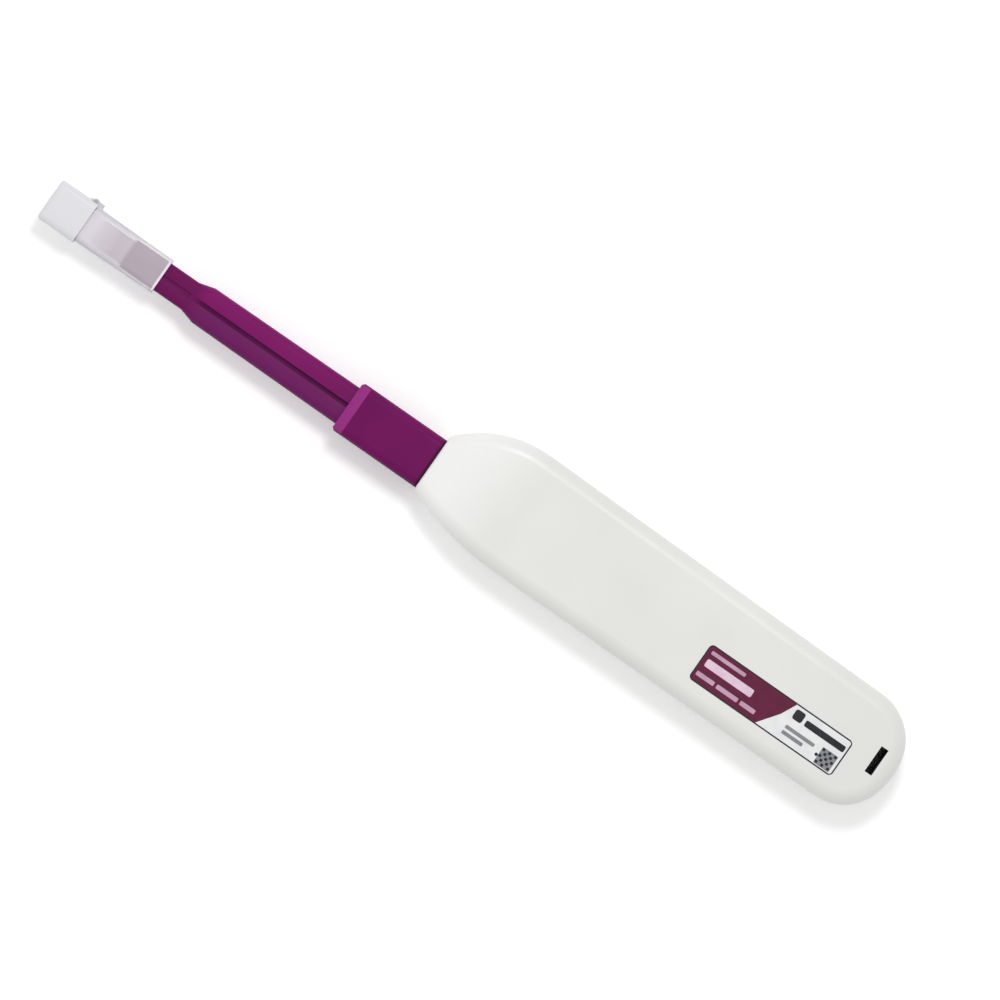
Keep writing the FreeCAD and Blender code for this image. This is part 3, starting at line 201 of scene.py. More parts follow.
@dataclass(frozen=True)
class PaintedLightBox:
    """A box of a moulding, in millimetres, where light or shade is painted into the finish's colour, with a
    soft edge.
    """

    colour: str
    low: tuple[float, float, float]
    high: tuple[float, float, float]
    soft_mm: float = 0.1

    def share(self, tree: bpy.types.NodeTree, place: bpy.types.NodeSocket) -> bpy.types.NodeSocket:
        """How far each point is inside the box, from 0 to 1.

        Args:
            tree: The node tree.
            place: Each point's place.

        Returns:
            The share's socket.
        """
        parts = add(tree, "ShaderNodeSeparateXYZ", {0: place})
        inside: Any = 1.0
        for axis, (low, high) in enumerate(zip(self.low, self.high)):
            centre = add(tree, "ShaderNodeMath", {0: parts.outputs[axis], 1: (low + high) / 2 * MM},
                         operation="SUBTRACT")
            away = add(tree, "ShaderNodeMath", {0: centre.outputs[0]}, operation="ABSOLUTE")
            half = (high - low) / 2 * MM
            part = remapped(tree, away.outputs[0], half, half + self.soft_mm * MM, 1.0, 0.0)
            inside = add(tree, "ShaderNodeMath", {0: part, 1: inside},
                         operation="MULTIPLY").outputs[0]
        return inside


@dataclass(frozen=True)
class MouldedPlastic:
    """An injection-moulded plastic: spark-eroded grain, slow colour drift, handled gloss, and boxes of
    painted light and shade.

    The grain of the mould breaks up the highlight, and places that hands touch are a little glossier.
    """

    name: str
    colour: str
    drift: str
    roughness: float = 0.42
    ior: float = 1.53
    grain_mm: float = 0.45
    grain_depth_mm: float = 0.006
    drift_mm: float = 28.0
    handling_mm: float = 9.0
    subsurface: float = 0.0
    specular: float = 0.5
    seam_z_mm: float | None = None
    seam_mm: float = 0.12
    seam_soft_mm: float = 0.08
    seam_shade: str = "8E8E8A"
    wear: float = 0.06
    painted_light: tuple[PaintedLightBox, ...] = ()

    def build(self) -> bpy.types.Material:
        """Make the material.

        Returns:
            The finished material.
        """
        material, tree = empty_material(self.name)
        place = place_on_object(tree)
        slow = add(tree, "ShaderNodeTexNoise", {"Vector": place, "Scale": per_metre(self.drift_mm),
                                                "Detail": 2.0})
        colour = mixed_colour(tree, remapped(tree, slow.outputs[0], 0.35, 0.65, 0.0, 1.0),
                              linear(self.colour), linear(self.drift))
        # The real grain is about 0.05 mm, too fine to show, so it is drawn coarser.
        grain = add(tree, "ShaderNodeTexNoise", {"Vector": place, "Scale": per_metre(self.grain_mm),
                                                 "Detail": 3.0, "Roughness": 0.65})
        touched = add(tree, "ShaderNodeTexNoise", {"Vector": place,
                                                   "Scale": per_metre(self.handling_mm),
                                                   "Detail": 4.0})
        roughness = remapped(tree, touched.outputs[0], 0.3, 0.7, self.roughness - self.wear,
                             self.roughness + self.wear)
        # Each box paints light or shade into the colour: a highlight where light falls, shade where it
        # doesn't.
        for painted_box in self.painted_light:
            colour = mixed_colour(tree, painted_box.share(tree, place), colour, linear(painted_box.colour))
        if self.seam_z_mm is not None:
            # The halves meet in a fine groove, which gathers shade and a little dirt.
            level = add(tree, "ShaderNodeSeparateXYZ", {0: place}).outputs["Z"]
            off = add(tree, "ShaderNodeMath", {0: level, 1: self.seam_z_mm * MM}, operation="SUBTRACT")
            away = add(tree, "ShaderNodeMath", {0: off.outputs[0]}, operation="ABSOLUTE")
            half = self.seam_mm / 2
            seam = remapped(tree, away.outputs[0], half * MM, (half + self.seam_soft_mm) * MM,
                            1.0, 0.0)
            colour = mixed_colour(tree, seam, colour, linear(self.seam_shade))
        bump = add(tree, "ShaderNodeBump", {"Height": grain.outputs[0], "Strength": 0.5,
                                            "Distance": self.grain_depth_mm * MM})
        shader = add(tree, "ShaderNodeBsdfPrincipled",
                     {"Base Color": colour, "Roughness": roughness, "IOR": self.ior,
                      "Specular IOR Level": self.specular,
                      "Normal": bump.outputs[0], "Subsurface Weight": self.subsurface,
                      "Subsurface Scale": 0.6 * MM})
        finish_tree(tree, shader.outputs[0])
        return material


@dataclass(frozen=True)
class FrostedPolypropylene:
    """Natural polypropylene, moulded with a matt face: milky, with what lies behind it softened.

    Places are in millimetres along X. Each of thicker's steps starts at one place, is full at
    another, and adds a share of cover. The side walls begin at walls_from off middle_y.
    """

    name: str
    colour: str
    drift: str
    cover: float
    roughness: float
    ends: tuple[float, ...] = ()
    end_cover: float = 0.75
    end_mm: float = 0.45
    thicker: tuple[tuple[float, float, float], ...] = ()
    middle_y: float = 0.0
    walls_from: float = 1000.0
    wall_share: float = 0.3
    wall_shade: str = "D2CED6"
    soft_mm: float = 0.3
    flow_mm: float = 6.0
    flow_share: float = 0.03
    grain_mm: float = 0.4
    grain_depth_mm: float = 0.002

    def build(self) -> bpy.types.Material:
        """Make the material.

        Returns:
            The finished material.
        """
        material, tree = empty_material(self.name)
        place = place_on_object(tree)
        # Flow streaks run along the sleeve from the gate.
        stretched = add(tree, "ShaderNodeMapping", {"Vector": place, "Scale": (0.3, 1.0, 1.0)})
        flow = add(tree, "ShaderNodeTexNoise", {"Vector": stretched.outputs[0],
                                                "Scale": per_metre(self.flow_mm), "Detail": 3.0})
        colour = mixed_colour(tree, remapped(tree, flow.outputs[0], 0.35, 0.65, 0.0, 1.0),
                              linear(self.colour), linear(self.drift))
        grain = add(tree, "ShaderNodeTexNoise", {"Vector": place, "Scale": per_metre(self.grain_mm),
                                                 "Detail": 2.0})
        roughness = remapped(tree, grain.outputs[0], 0.3, 0.7, self.roughness - 0.05,
                             self.roughness + 0.05)
        bump = add(tree, "ShaderNodeBump", {"Height": grain.outputs[0], "Strength": 0.5,
                                            "Distance": self.grain_depth_mm * MM})
        # Milky plastic hides what is behind it by its thickness.
        cover = remapped(tree, flow.outputs[0], 0.3, 0.7, self.cover - self.flow_share,
                         self.cover + self.flow_share)
        parts = add(tree, "ShaderNodeSeparateXYZ", {0: place})
        along = parts.outputs["X"]
        # The side walls are seen through their height, so they look denser; their colour is drawn a little
        # greyer, as painted shade.
        across = add(tree, "ShaderNodeMath", {0: parts.outputs["Y"], 1: self.middle_y * MM},
                     operation="SUBTRACT")
        outward = add(tree, "ShaderNodeMath", {0: across.outputs[0]}, operation="ABSOLUTE")
        wall = remapped(tree, outward.outputs[0], (self.walls_from - self.soft_mm) * MM,
                        self.walls_from * MM, 0.0, 1.0)
        colour = mixed_colour(tree, wall, colour, linear(self.wall_shade))
        denser = add(tree, "ShaderNodeMath", {0: wall, 1: self.wall_share}, operation="MULTIPLY")
        cover = add(tree, "ShaderNodeMath", {0: cover, 1: denser.outputs[0]},
                    operation="ADD").outputs[0]
        # The wall thickens towards the lid, where the tips lie deeper under it.
        for start, full, share in self.thicker:
            more = remapped(tree, along, start * MM, full * MM, 0.0, share)
            cover = add(tree, "ShaderNodeMath", {0: cover, 1: more}, operation="ADD").outputs[0]
        # An end that is seen edge-on is nearly opaque.
        for end in self.ends:
            off = add(tree, "ShaderNodeMath", {0: along, 1: end * MM}, operation="SUBTRACT")
            away = add(tree, "ShaderNodeMath", {0: off.outputs[0]}, operation="ABSOLUTE")
            rim = remapped(tree, away.outputs[0], self.end_mm * MM,
                           (self.end_mm + self.soft_mm) * MM, self.end_cover, 0.0)
            cover = add(tree, "ShaderNodeMath", {0: cover, 1: rim}, operation="MAXIMUM").outputs[0]
        shader = add(tree, "ShaderNodeBsdfPrincipled",
                     {"Base Color": colour, "Roughness": roughness, "IOR": 1.49, "Alpha": cover,
                      "Normal": bump.outputs[0]})
        finish_tree(tree, shader.outputs[0])
        return material


@dataclass(frozen=True)
class DrawnSteel:
    """Steel drawn through a die: bright, with fine lines along the wire or rod."""

    name: str
    colour: str
    roughness: float
    line_shade: str = "8F9092"
    line_mm: float = 0.12
    along: tuple[float, float, float] = (0.05, 1.0, 1.0)

    def build(self) -> bpy.types.Material:
        """Make the material.

        Returns:
            The finished material.
        """
        material, tree = empty_material(self.name)
        place = place_on_object(tree)
        stretched = add(tree, "ShaderNodeMapping", {"Vector": place, "Scale": self.along})
        lines = add(tree, "ShaderNodeTexNoise", {"Vector": stretched.outputs[0],
                                                 "Scale": per_metre(self.line_mm), "Detail": 2.0})
        colour = mixed_colour(tree, lines.outputs[0], linear(self.colour), linear(self.line_shade))
        roughness = remapped(tree, lines.outputs[0], 0.3, 0.7, self.roughness - 0.06,
                             self.roughness + 0.1)
        bump = add(tree, "ShaderNodeBump", {"Height": lines.outputs[0], "Strength": 0.4,
                                            "Distance": 0.003 * MM})
        shader = add(tree, "ShaderNodeBsdfPrincipled",
                     {"Base Color": colour, "Metallic": 1.0, "Roughness": roughness,
                      "Normal": bump.outputs[0]})
        finish_tree(tree, shader.outputs[0])
        return material


@dataclass(frozen=True)
class SpunMicrofibre:
    """Polyester microfibre spun to a soft thread: slanting plies and a matt, fuzzy face."""

    name: str
    colour: str
    shade: str
    ply_mm: float = 0.22

    def build(self) -> bpy.types.Material:
        """Make the material.

        Returns:
            The finished material.
        """
        material, tree = empty_material(self.name)
        place = place_on_object(tree)
        turned = add(tree, "ShaderNodeMapping", {"Vector": place,
                                                 "Rotation": (0.0, math.radians(35), math.radians(35))})
        plies = add(tree, "ShaderNodeTexWave", {"Vector": turned.outputs[0],
                                                "Scale": per_metre(self.ply_mm) / 20,
                                                "Distortion": 1.5, "Detail": 2.0})
        fuzz = add(tree, "ShaderNodeTexNoise", {"Vector": place, "Scale": per_metre(0.1),
                                                "Detail": 3.0})
        share = add(tree, "ShaderNodeMath", {0: plies.outputs[1], 1: fuzz.outputs[0]},
                    operation="MULTIPLY")
        colour = mixed_colour(tree, share.outputs[0], linear(self.shade), linear(self.colour))
        bump = add(tree, "ShaderNodeBump", {"Height": plies.outputs[1], "Strength": 0.7,
                                            "Distance": 0.03 * MM})
        shader = add(tree, "ShaderNodeBsdfPrincipled",
                     {"Base Color": colour, "Roughness": 0.9, "IOR": 1.5, "Sheen Weight": 0.4,
                      "Normal": bump.outputs[0]})
        finish_tree(tree, shader.outputs[0])
        return material


@dataclass(frozen=True)
class LaminatedPrint:
    """Ink on polyester film under a clear laminate: even colour with the film's slight ripple."""

    name: str
    colour: str
    drift: str
    roughness: float = 0.38

    def build(self) -> bpy.types.Material:
        """Make the material.

        Returns:
            The finished material.
        """
        material, tree = empty_material(self.name)
        place = place_on_object(tree)
        cloud = add(tree, "ShaderNodeTexNoise", {"Vector": place, "Scale": per_metre(3.0),
                                                 "Detail": 4.0})
        colour = mixed_colour(tree, remapped(tree, cloud.outputs[0], 0.4, 0.6, 0.0, 1.0),
                              linear(self.colour), linear(self.drift))
        ripple = add(tree, "ShaderNodeTexNoise", {"Vector": place, "Scale": per_metre(7.0),
                                                  "Detail": 1.0})
        bump = add(tree, "ShaderNodeBump", {"Height": ripple.outputs[0], "Strength": 0.3,
                                            "Distance": 0.02 * MM})
        shader = add(tree, "ShaderNodeBsdfPrincipled",
                     {"Base Color": colour, "Roughness": self.roughness, "IOR": 1.57,
                      "Specular IOR Level": 0.15, "Normal": bump.outputs[0]})
        finish_tree(tree, shader.outputs[0])
        return material


# The strap slot goes right through the housing; its walls are drawn near black, as painted shade for the
# dark that no light reaches.
SLOT_SHADE = PaintedLightBox("0C0C0B", (-60.95, -3.6, -1.0), (-59.05, 3.6, 17.7), 0.12)

FINISHES: dict[str, Any] = {
    "housing_plastic": MouldedPlastic(
        "moulded_abs_white", "E2E2DF", "DDDEDA", seam_z_mm=9.0,
        # Painted highlight: the nose is lighter towards the mouth, where its slope faces the light.
        painted_light=(PaintedLightBox("EEEEEC", (60.0, -20.0, -1.0), (70.0, 20.0, 20.0), 18.0),
               SLOT_SHADE)),
    "label_film": LaminatedPrint("laminated_film_white", "E9E9E9", "E2E3E5"),
    "spring_steel": DrawnSteel("drawn_spring_steel", "B9BABC", 0.3),
    "pin_steel": DrawnSteel("ground_pin_steel", "C9CACC", 0.22, along=(1.0, 0.05, 1.0)),
    "collar_plastic": MouldedPlastic("moulded_abs_plum", "73105B", "6A0E55", roughness=0.48,
                                     specular=0.08,
                                     # Painted highlight on the upper edge of the collar's front face.
                                     painted_light=(PaintedLightBox("94307F", (87.0, -3.6, 13.0), (89.5, 8.8, 15.2),
                                                 0.15),
                                            # Painted shadow of the mouth's rim on the collar, where it
                                            # leaves the housing.
                                            PaintedLightBox("3E0A32", (64.0, -6.0, 2.0), (65.8, 12.0, 16.0),
                                                 0.5))),
    "nozzle_plastic": MouldedPlastic("moulded_pom_magenta", "7E1564", "73125B", roughness=0.45,
                                     ior=1.48, specular=0.1,
                                     # Painted shade on the +y side of the nozzle's top, away from the lamp.
                                     painted_light=(PaintedLightBox("6A1A5B", (80.0, 3.2, 9.0), (165.0, 9.0, 15.0),
                                                 0.3),
                                            # Painted shade in the groove along the nozzle's top.
                                            PaintedLightBox("560748", (88.0, 2.3, 8.0), (150.0, 2.9, 16.0),
                                                 0.25),
                                            # Painted shade: the neck and the tips, under the cap, are drawn
                                            # a deeper magenta.
                                            PaintedLightBox("6A0F53", (134.0, -20.0, 0.0),
                                                 (165.0, 20.0, 20.0), 3.0))),
    "inner_plastic": MouldedPlastic("moulded_pom_natural", "D9D8D0", "D0CFC6", roughness=0.4,
                                    ior=1.48),
    "gear_plastic": MouldedPlastic("moulded_pom_ivory", "E6E2D2", "DCD8C6", roughness=0.32, ior=1.48),
    "reel_plastic": MouldedPlastic("moulded_pom_grey", "BFC2C6", "B4B8BC", roughness=0.36, ior=1.48),
    "head_plastic": MouldedPlastic("moulded_pom_lavender", "C6B6CC", "BBA9C2", roughness=0.4,
                                   ior=1.48, subsurface=0.1),
    "cleaning_thread": SpunMicrofibre("spun_microfibre_clean", "F4F4F2", "D2D3D5"),
    "used_thread": SpunMicrofibre("spun_microfibre_used", "D6D4CF", "A9A7A2"),
    "frosted_plastic": FrostedPolypropylene("moulded_pp_frosted", "FCF7FE", "F6F0F8", 0.27, 0.4,
                                            ends=(142.5,),
                                            thicker=((151.8, 152.8, 0.12), (155.5, 160.5, 0.13)),
                                            middle_y=2.6, walls_from=4.3),
    "lid_plastic": FrostedPolypropylene("moulded_pp_milky", "E6E5E9", "E0E0E4", 0.93, 0.42),
}

INKS: dict[str, LaminatedPrint] = {
    "ink_plum": LaminatedPrint("printed_ink_plum", "651A3C", "5D1938"),
    "ink_pale": LaminatedPrint("printed_ink_pale", "E3C9DA", "D9BFD2"),
    "ink_mauve": LaminatedPrint("printed_ink_mauve", "C49FB6", "BA95AC"),
    "ink_black": LaminatedPrint("printed_ink_black", "23252A", "2B2D31"),
    "ink_grey": LaminatedPrint("printed_ink_grey", "8B8E92", "7F8387"),
}


class Palette:
    """Every finish and ink, made once and found by name."""

    def __init__(self) -> None:
        """Start with nothing made."""
        self.made: dict[str, bpy.types.Material] = {}

    def __getitem__(self, slot: str) -> bpy.types.Material:
        """Find a finish's material, which is made at its first use.

        Args:
            slot: A material slot of the record, or the name of an ink.

        Returns:
            The material.
        """
        if slot not in self.made:
            self.made[slot] = {**FINISHES, **INKS}[slot].build()
        return self.made[slot]

    def carry_over(self) -> None:
        """Dress every CAD node in the finish of its slot."""
        for part in frame["record"]["subparts"]:
            mesh = frame["nodes"][part["node"]].data
            mesh.materials.clear()
            mesh.materials.append(self[part["material_slot"]])


# ---------------------------------------------------------------- modelling helpers


def select_only(piece: bpy.types.Object) -> None:
    """Make a piece the one selected and active object."""
    bpy.ops.object.select_all(action="DESELECT")
    piece.select_set(True)
    bpy.context.view_layer.objects.active = piece


def pick_nothing(piece: bpy.types.Object) -> None:
    """Deselect all of a mesh, in object mode."""
    for group in (piece.data.vertices, piece.data.edges, piece.data.polygons):
        group.foreach_set("select", [False] * len(group))


def pick_faces(piece: bpy.types.Object, chosen: Callable[[bpy.types.MeshPolygon], bool]) -> None:
    """Select the faces that a test chooses, and nothing else.

    Args:
        piece: The mesh object, in object mode.
        chosen: A test of one face, by its place or normal.
    """
    bpy.context.tool_settings.mesh_select_mode = (False, False, True)
    pick_nothing(piece)
    for face in piece.data.polygons:
        face.select = chosen(face)


def pick_points(piece: bpy.types.Object, chosen: Callable[[Vector], bool]) -> None:
    """Select the vertices that a test of their place chooses, with the edges between them.

    Args:
        piece: The mesh object, in object mode.
        chosen: A test of one vertex's place.
    """
    bpy.context.tool_settings.mesh_select_mode = (True, False, False)
    pick_nothing(piece)
    for vertex in piece.data.vertices:
        vertex.select = chosen(vertex.co)


def settle(piece: bpy.types.Object, name: str, body: Body, slot: str, palette: Palette,
           smooth_angle: float = 35.0) -> bpy.types.Object:
    """Finish a piece: place in its mesh, outward normals, shading, material and body.

    Args:
        piece: The modelled object.
        name: What it is called.
        body: The body that it rides on.
        slot: The record's material slot of its finish, or the name of an ink.
        palette: The finishes.
        smooth_angle: Edges sharper than this stay sharp, in degrees.

    Returns:
        The same object.
    """
    select_only(piece)
    bpy.ops.object.transform_apply(location=True, rotation=True, scale=True)
    bpy.ops.object.mode_set(mode="EDIT")
    bpy.ops.mesh.select_all(action="SELECT")
    bpy.ops.mesh.remove_doubles(threshold=1e-7)
    bpy.ops.mesh.normals_make_consistent(inside=False)
    bpy.ops.object.mode_set(mode="OBJECT")
    bpy.ops.object.shade_smooth_by_angle(angle=math.radians(smooth_angle))
    piece.name = piece.data.name = name
    piece.data.materials.clear()
    piece.data.materials.append(palette[slot])
    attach(piece, body.value)
    log.info("%s: %d faces on %s", name, len(piece.data.polygons), body.value)
    return piece


def softened(node: str, name: str, body: Body, slot: str, palette: Palette, edge_mm: float,
             left_sharp: Callable[[Vector], bool] = lambda point: False) -> bpy.types.Object:
    """A copy of a moulded node with the small rounds that a mould leaves on its edges.

    Args:
        node: The CAD node that the copy stands for.
        name: The copy's name.
        body: The body that it rides on.
        slot: Its material slot.
        palette: The finishes.
        edge_mm: The width of each edge round.
        left_sharp: A test of a place where edges stay as they are, such as at a hinge.

    Returns:
        The softened piece.
    """
    select_only(frame["nodes"][node])
    bpy.ops.object.duplicate()
    piece = bpy.context.view_layer.objects.active
    bpy.ops.object.parent_clear(type="CLEAR_KEEP_TRANSFORM")
    if piece.data.has_custom_normals:
        bpy.ops.mesh.customdata_custom_splitnormals_clear()
    bpy.ops.object.mode_set(mode="EDIT")
    bpy.ops.mesh.select_all(action="SELECT")
    bpy.ops.mesh.remove_doubles(threshold=1e-6)
    bpy.ops.mesh.dissolve_limited(angle_limit=math.radians(FLAT_DEGREES))
    bpy.ops.mesh.select_mode(type="EDGE")
    bpy.ops.mesh.select_all(action="DESELECT")
    bpy.ops.mesh.edges_select_sharp(sharpness=math.radians(SHARP_DEGREES))
    bpy.ops.object.mode_set(mode="OBJECT")
    points = piece.data.vertices
    sharp = [edge for edge in piece.data.edges if edge.select
             and not any(left_sharp(points[end].co) for end in edge.vertices)]
    pick_nothing(piece)
    for edge in sharp:
        edge.select = True
        for end in edge.vertices:
            points[end].select = True
    bpy.ops.object.mode_set(mode="EDIT")
    bpy.ops.mesh.bevel(offset=edge_mm * MM, offset_pct=0, segments=ROUND_STEPS, affect="EDGES",
                       clamp_overlap=True)
    bpy.ops.object.mode_set(mode="OBJECT")
    settle(piece, name, body, slot, palette)
    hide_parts(node)
    return piece


def flat_sheet(left: float, right: float, near: float, far: float, base: float,
               corner: float) -> bpy.types.Object:
    """A flat sheet with rounded corners, in millimetres.

    Args:
        left: Its lowest X.
        right: Its highest X.
        near: Its lowest Y.
        far: Its highest Y.
        base: Its Z.
        corner: Its corner radius.

    Returns:
        The sheet, active and alone in the selection.
    """
    bpy.ops.object.select_all(action="DESELECT")
    bpy.ops.mesh.primitive_plane_add(size=1.0, location=((left + right) / 2 * MM,
                                                         (near + far) / 2 * MM, base * MM))
    sheet = bpy.context.view_layer.objects.active
    sheet.scale = ((right - left) * MM, (far - near) * MM, 1.0)
    bpy.ops.object.transform_apply(location=True, rotation=True, scale=True)
    bpy.ops.object.mode_set(mode="EDIT")
    bpy.ops.mesh.select_all(action="SELECT")
    if corner:
        bpy.ops.mesh.bevel(offset=corner * MM, offset_pct=0, segments=CORNER_STEPS,
                           affect="VERTICES")
    bpy.ops.object.mode_set(mode="OBJECT")
    return sheet


def thickened(sheet: bpy.types.Object, depth: float) -> bpy.types.Object:
    """Raise a flat sheet to a plate.

    Args:
        sheet: The sheet, active.
        depth: The plate's thickness in millimetres.

    Returns:
        The same object.
    """
    bpy.ops.object.mode_set(mode="EDIT")
    bpy.ops.mesh.select_all(action="SELECT")
    bpy.ops.mesh.extrude_region_move(TRANSFORM_OT_translate={"value": (0.0, 0.0, depth * MM)})
    bpy.ops.object.mode_set(mode="OBJECT")
    return sheet


def joined(pieces: list[bpy.types.Object]) -> bpy.types.Object:
    """Join several meshes to one object.

    Args:
        pieces: The objects, one or more.

    Returns:
        The joined object, active and alone in the selection.
    """
    bpy.ops.object.select_all(action="DESELECT")
    for piece in pieces:
        piece.select_set(True)
    bpy.context.view_layer.objects.active = pieces[0]
    if len(pieces) > 1:
        bpy.ops.object.join()
    return bpy.context.view_layer.objects.active


# ---------------------------------------------------------------- sub-assemblies

@dataclass(frozen=True)
class Block:
    """One plain block of print, measured from the label's tip-side edge and its near edge, in mm."""

    start: float
    width: float
    top: float
    height: float
    corner: float = 0.25


@dataclass
class PrintedLabel:
    """The label on the housing's top: a plum field with a slanting edge, and plain blocks of print.

    The blocks stand where such a label has its words, and say nothing. Lengths are in millimetres.
    """

    ink_lift: float = 0.004
    ink_depth: float = 0.006
    edge_line: float = 0.32
    corner: float = 0.9
    field_top: float = 24.6
    field_foot: float = 18.9
    waist_in: float = 1.9
    waist_up: float = -0.6
    pale_blocks: list[Block] = field(default_factory=lambda: [
        Block(1.4, 13.2, 3.3, 2.0, 0.4)])
    soft_blocks: list[Block] = field(default_factory=lambda: [
        Block(1.2, 9.6, 1.2, 0.9), Block(0.9, 5.0, 7.0, 1.1), Block(6.6, 6.0, 7.0, 1.1),
        Block(13.3, 4.2, 7.0, 1.1)])
    black_blocks: list[Block] = field(default_factory=lambda: [
        Block(25.2, 2.6, 1.0, 2.6, 0.6), Block(28.6, 11.2, 1.9, 1.6, 0.4),
        Block(34.5, 0.8, 6.9, 0.8, 0.39)])
    grey_blocks: list[Block] = field(default_factory=lambda: [
        Block(25.2, 8.2, 5.5, 0.9), Block(25.2, 5.8, 7.0, 0.9), Block(35.3, 4.3, 4.9, 4.3, 0.2)])
    cell: float = 0.82
    cell_fill: float = 0.85
    cells: int = 5
    cells_start: float = 35.43
    cells_top: float = 5.03
    cell_corner: float = 0.05

    def __post_init__(self) -> None:
        """Read the label's own box from the CAD."""
        low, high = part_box("label")
        self.low, self.high = [Vector(corner) / MM for corner in (low, high)]
        self.ink_base = self.high.z + self.ink_lift

    def block(self, spec: Block, level: float = 0.0) -> bpy.types.Object:
        """One block of print as a thin plate.

        Args:
            spec: Its place and size on the label.
            level: How far it lies above the first ink, in millimetres.

        Returns:
            The plate.
        """
        right = self.high.x - spec.start
        near = self.low.y + spec.top
        sheet = flat_sheet(right - spec.width, right, near, near + spec.height,
                           self.ink_base + level, spec.corner)
        return thickened(sheet, self.ink_depth)

    def plum_field(self) -> bpy.types.Object:
        """Model the plum field: its tail-side edge is split and drawn in to a bent slant.

        Returns:
            The field's plate.
        """
        inset = self.edge_line
        near, far = self.low.y + inset, self.high.y - inset
        tail = self.high.x - self.field_top
        sheet = flat_sheet(tail, self.high.x - inset, near, far, self.ink_base, 0.0)
        pick_points(sheet, lambda point: point.x < (tail + 1) * MM)
        bpy.ops.object.mode_set(mode="EDIT")
        bpy.ops.mesh.subdivide(number_cuts=1)
        bpy.ops.object.mode_set(mode="OBJECT")
        shifts = ((far, self.field_top - self.field_foot, 0.0),
                  ((near + far) / 2, self.waist_in, self.waist_up))
        for level, along, across in shifts:
            pick_points(sheet, lambda point: abs(point.y - level * MM) < 1e-5
                        and point.x < (tail + 1) * MM)
            bpy.ops.object.mode_set(mode="EDIT")
            bpy.ops.transform.translate(value=(along * MM, across * MM, 0.0))
            bpy.ops.object.mode_set(mode="OBJECT")
        return thickened(sheet, self.ink_depth)

    def edge_frame(self) -> bpy.types.Object:
        """Model the fine dark line printed round the label's edge.

        Returns:
            The line's plate.
        """
        plate = thickened(flat_sheet(self.low.x, self.high.x, self.low.y, self.high.y,
                                     self.ink_base, self.corner), self.ink_depth)
        pick_faces(plate, lambda face: abs(face.normal.z) > 0.9)
        bpy.ops.object.mode_set(mode="EDIT")
        bpy.ops.mesh.inset(thickness=self.edge_line * MM)
        bpy.ops.mesh.delete(type="FACE")
        bpy.ops.mesh.select_mode(type="EDGE")
        bpy.ops.mesh.select_all(action="DESELECT")
        bpy.ops.mesh.select_non_manifold()
        bpy.ops.mesh.bridge_edge_loops()
        bpy.ops.object.mode_set(mode="OBJECT")
        return plate

    def build(self, palette: Palette) -> None:
        """Model and dress every ink.

        Args:
            palette: The finishes.
        """
        settle(self.plum_field(), "label_plum_field", Body.HOUSING, "ink_plum", palette)
        settle(self.edge_frame(), "label_edge_line", Body.HOUSING, "ink_black", palette)
        over = 2 * self.ink_depth
        pale = [self.block(spec, over) for spec in self.pale_blocks]
        settle(joined(pale), "label_pale_blocks", Body.HOUSING, "ink_pale", palette)
        soft = [self.block(spec, over) for spec in self.soft_blocks]
        settle(joined(soft), "label_soft_blocks", Body.HOUSING, "ink_mauve", palette)
        size = self.cell * self.cell_fill
        cells = [Block(self.cells_start + self.cell * column, size,
                       self.cells_top + self.cell * row, size, self.cell_corner)
                 for column in range(self.cells) for row in range(self.cells)
                 if (column + row) % 2 == 0]
        black = [self.block(spec, over) for spec in [*self.black_blocks, *cells]]
        settle(joined(black), "label_black_blocks", Body.HOUSING, "ink_black", palette)
        grey = [self.block(spec) for spec in self.grey_blocks]
        settle(joined(grey), "label_grey_blocks", Body.HOUSING, "ink_grey", palette)


@dataclass
class CoilSpring:
    """A compression spring wound from round wire, with its axis along X. Lengths are in millimetres.

    joint, anchor_x and keep are not used.
    """

    name: str
    node: str
    body: Body
    joint: str
    rear: float
    front: float
    centre_y: float
    centre_z: float
    coil_radius: float
    wire_radius: float
    turns: int
    anchor_x: float
    keep: float
    wire_sides: int = 8
    turn_steps: int = 24

    def build(self, palette: Palette) -> None:
        """Wind the wire.

        Args:
            palette: The finishes.
        """
        bpy.ops.object.select_all(action="DESELECT")
        bpy.ops.mesh.primitive_circle_add(vertices=self.wire_sides, radius=self.wire_radius * MM,
                                          rotation=(math.radians(90), 0.0, 0.0),
                                          location=(self.coil_radius * MM, 0.0, 0.0))
        coil = bpy.context.view_layer.objects.active
        bpy.ops.object.transform_apply(location=True, rotation=True, scale=True)
        winding = coil.modifiers.new("winding", "SCREW")
        winding.axis = "Z"
        winding.iterations = self.turns
        winding.steps = winding.render_steps = self.turn_steps
        winding.screw_offset = (self.front - self.rear - 2 * self.wire_radius) * MM / self.turns
        winding.use_merge_vertices = False
        bpy.ops.object.modifier_apply(modifier="winding")
        bpy.ops.object.mode_set(mode="EDIT")
        bpy.ops.mesh.select_all(action="SELECT")
        bpy.ops.mesh.fill_holes(sides=0)
        bpy.ops.object.mode_set(mode="OBJECT")
        coil.rotation_euler = (0.0, math.radians(90), 0.0)
        coil.location = ((self.rear + self.wire_radius) * MM, self.centre_y * MM, self.centre_z * MM)
        settle(coil, self.name, self.body, "spring_steel", palette, 60.0)
        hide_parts(self.node)
        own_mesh(coil)


